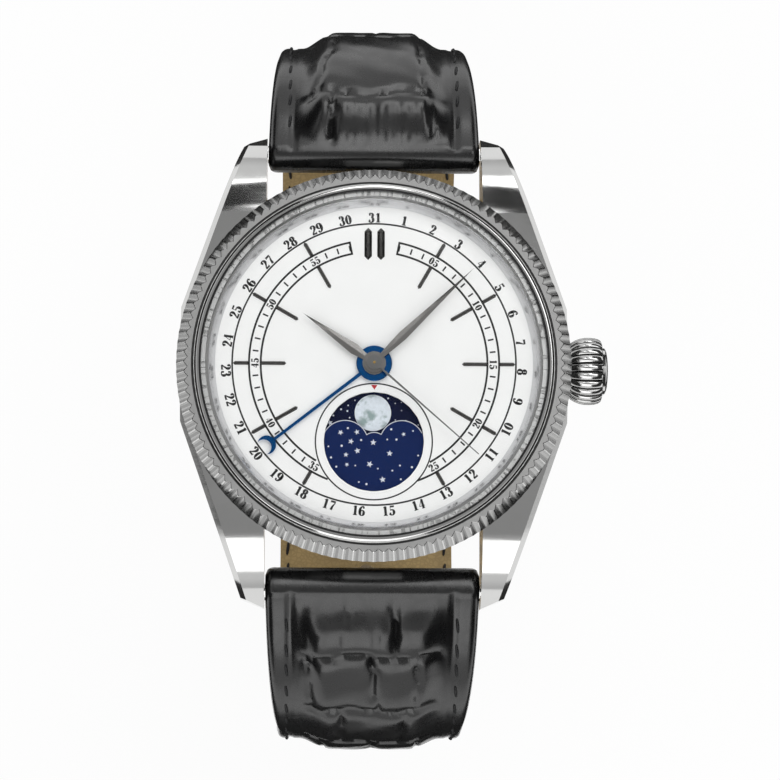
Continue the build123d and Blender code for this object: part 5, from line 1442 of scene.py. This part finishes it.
class WATCH_OT_stage(bpy.types.Operator):
    """Pale floor, soft lamps, light all round and the camera"""
    bl_idname = "watch.stage"
    bl_label = "Stage and camera"

    # Brightness of the light all round, from straight below (0) to straight above (1).
    sky_greys = ((0.0, 0.9), (0.5, 0.7), (0.62, 0.95), (0.8, 1), (0.955, 0.85), (0.985, 0.4))
    # The side flags in the plan: directions, spread in degrees, distance, lower and upper edge.
    flag_sides = (0, 180)
    flag_spread = 140
    flag_distance = 120
    flag_heights = (8, 150)
    lug_flag = [(10, 42.8, 75.6), (10, 76.4, 50.4), (26, 61.1, 65.6), (26, 21.7, 80.0)]
    black_ring = (46, 110)

    def floor(self):
        """A wide pale floor just under the watch."""
        level = cad_bounds[0].z / mm - 0.4
        reach = 1500
        corners = [(x * reach, y * reach, level) for x, y in ((-1, -1), (1, -1), (1, 1), (-1, 1))]
        recipe = Recipe("floor_white")
        rays = recipe.node("ShaderNodeLightPath", result="Is Camera Ray")
        glossy = recipe.node("ShaderNodeLightPath", result="Is Glossy Ray")
        through = recipe.node("ShaderNodeLightPath", result="Is Transmission Ray")
        cloth = recipe.node("ShaderNodeBsdfDiffuse", {}, {"Color": (0.86, 0.86, 0.86, 1)})
        glow = recipe.node("ShaderNodeEmission", {}, {"Color": (1, 1, 1, 1), "Strength": 1.0})
        share = (rays + glossy + through).limited() * 0.93
        white = recipe.end(recipe.node("ShaderNodeMixShader", {}, {0: share, 1: cloth, 2: glow}))
        new_object("floor", new_mesh("floor", corners, [(0, 1, 2, 3)], white))

    def surround(self, level):
        """Light all round, darker straight above, so that metal shows its shape."""
        world = bpy.data.worlds.new("surround")
        world.use_nodes = True
        bpy.context.scene.world = world
        recipe = Recipe("surround", world.node_tree)
        spot = recipe.node("ShaderNodeTexCoord", result="Generated")
        height = recipe.node("ShaderNodeSeparateXYZ", {}, {0: spot}, "Z")
        stops = [(place, (grey, grey, grey, 1)) for place, grey in self.sky_greys]
        sky = recipe.ramp(height * 0.5 + 0.5, *stops)
        rays = recipe.node("ShaderNodeLightPath", result="Is Camera Ray")
        lit = recipe.node("ShaderNodeBackground", {}, {"Color": sky, "Strength": level})
        seen = recipe.node("ShaderNodeBackground", {}, {"Color": (1, 1, 1, 1), "Strength": 1.0})
        both = recipe.node("ShaderNodeMixShader", {}, {0: rays, 1: lit, 2: seen})
        recipe.node("ShaderNodeOutputWorld", {}, {"Surface": both})

    def flags(self):
        """Black flags round the watch and a black ring under it, which only reflections show."""
        shapes = []
        steps = 12
        for direction in self.flag_sides:
            points = []
            for step in range(steps + 1):
                angle = direction + self.flag_spread * (step / steps - 0.5)
                points += [(*polar(self.flag_distance, angle), z) for z in self.flag_heights]
            shapes.append((points, row_faces(steps + 1, 2, wrap_columns=False)))
        shapes += [([(x * sign, y, z) for x, y, z in self.lug_flag], [(0, 1, 2, 3)]) for sign in (-1, 1)]
        under = cad_bounds[0].z / mm - 0.2
        shapes.append(turned([(radius, under) for radius in self.black_ring], 64))
        black = Recipe("flag_black").surface(base_color=(0.012, 0.012, 0.012, 1), roughness=0.9)
        flags = new_object("flags", new_mesh("flags", *joined(*shapes), black))
        for sight in ("visible_camera", "visible_diffuse", "visible_shadow", "visible_transmission"):
            setattr(flags, sight, False)

    def camera(self):
        """Camera at the photograph's angle, worked out for a square frame."""
        rise, lean, roll = (math.radians(angle) for angle in (82.304, 1.0, -0.357))
        turn = (Matrix.Rotation(roll, 3, "Z") @ Matrix.Rotation(lean, 3, "Y")
                @ Matrix.Rotation(rise - math.pi / 2, 3, "X"))
        side, centre_x, centre_y = 780, 374.05, 364.44
        aim, distance = Vector((0, 0, 0.0083)), Vector((0, 0, 0.3529))
        lens = bpy.data.cameras.new("camera")
        lens.lens = 161.2
        lens.sensor_width = 36
        lens.clip_start = 0.01
        lens.shift_x = (side / 2 - centre_x) / side
        lens.shift_y = (centre_y - side / 2) / side
        holder = new_object("camera", lens)
        back = turn.transposed()
        holder.matrix_world = Matrix.Translation(aim + back @ distance) @ back.to_4x4()
        bpy.context.scene.camera = holder

    def execute(self, context):
        group = settings("studio")
        context.scene.view_settings.view_transform = "Standard"
        self.camera()
        self.floor()
        self.surround(group.surround)
        self.flags()
        soft_lamp("key_lamp", (0.14, 0.3, 0.42), group.key)
        soft_lamp("fill_lamp", (-0.1, -0.36, 0.4), group.fill)
        return {"FINISHED"}


# Panel and registration


class WATCH_PT_panel(bpy.types.Panel):
    """Lists the makers and settings of the watch"""
    bl_idname = "WATCH_PT_panel"
    bl_label = "Watch"
    bl_space_type = "VIEW_3D"
    bl_region_type = "UI"
    bl_category = "Watch"

    def draw(self, context):
        for name in ("metal", "dial", "strap", "studio"):
            box = self.layout.box()
            group = settings(name)
            for key in group.__annotations__:
                box.prop(group, key)
        for maker in makers:
            self.layout.operator(maker.bl_idname)


groups = {"metal": WATCH_PG_metal, "dial": WATCH_PG_dial, "strap": WATCH_PG_strap, "studio": WATCH_PG_studio}
makers = (WATCH_OT_stage, WATCH_OT_case, WATCH_OT_bezel, WATCH_OT_crystal, WATCH_OT_crown, WATCH_OT_case_back,
          WATCH_OT_dial, WATCH_OT_moon, WATCH_OT_hands, WATCH_OT_movement, WATCH_OT_strap, WATCH_OT_lining,
          WATCH_OT_keepers, WATCH_OT_buckle)


def register():
    for kind in (*groups.values(), *makers, WATCH_PT_panel):
        bpy.utils.register_class(kind)
    for name, group in groups.items():
        setattr(bpy.types.Scene, "watch_" + name, bpy.props.PointerProperty(type=group))


def unregister():
    for name in groups:
        delattr(bpy.types.Scene, "watch_" + name)
    for kind in reversed((*groups.values(), *makers, WATCH_PT_panel)):
        bpy.utils.unregister_class(kind)


def main():
    """Makes everything in order."""
    register()
    for maker in makers:
        getattr(bpy.ops.watch, maker.bl_idname.split(".")[1])()


if __name__ == "__main__":
    main()
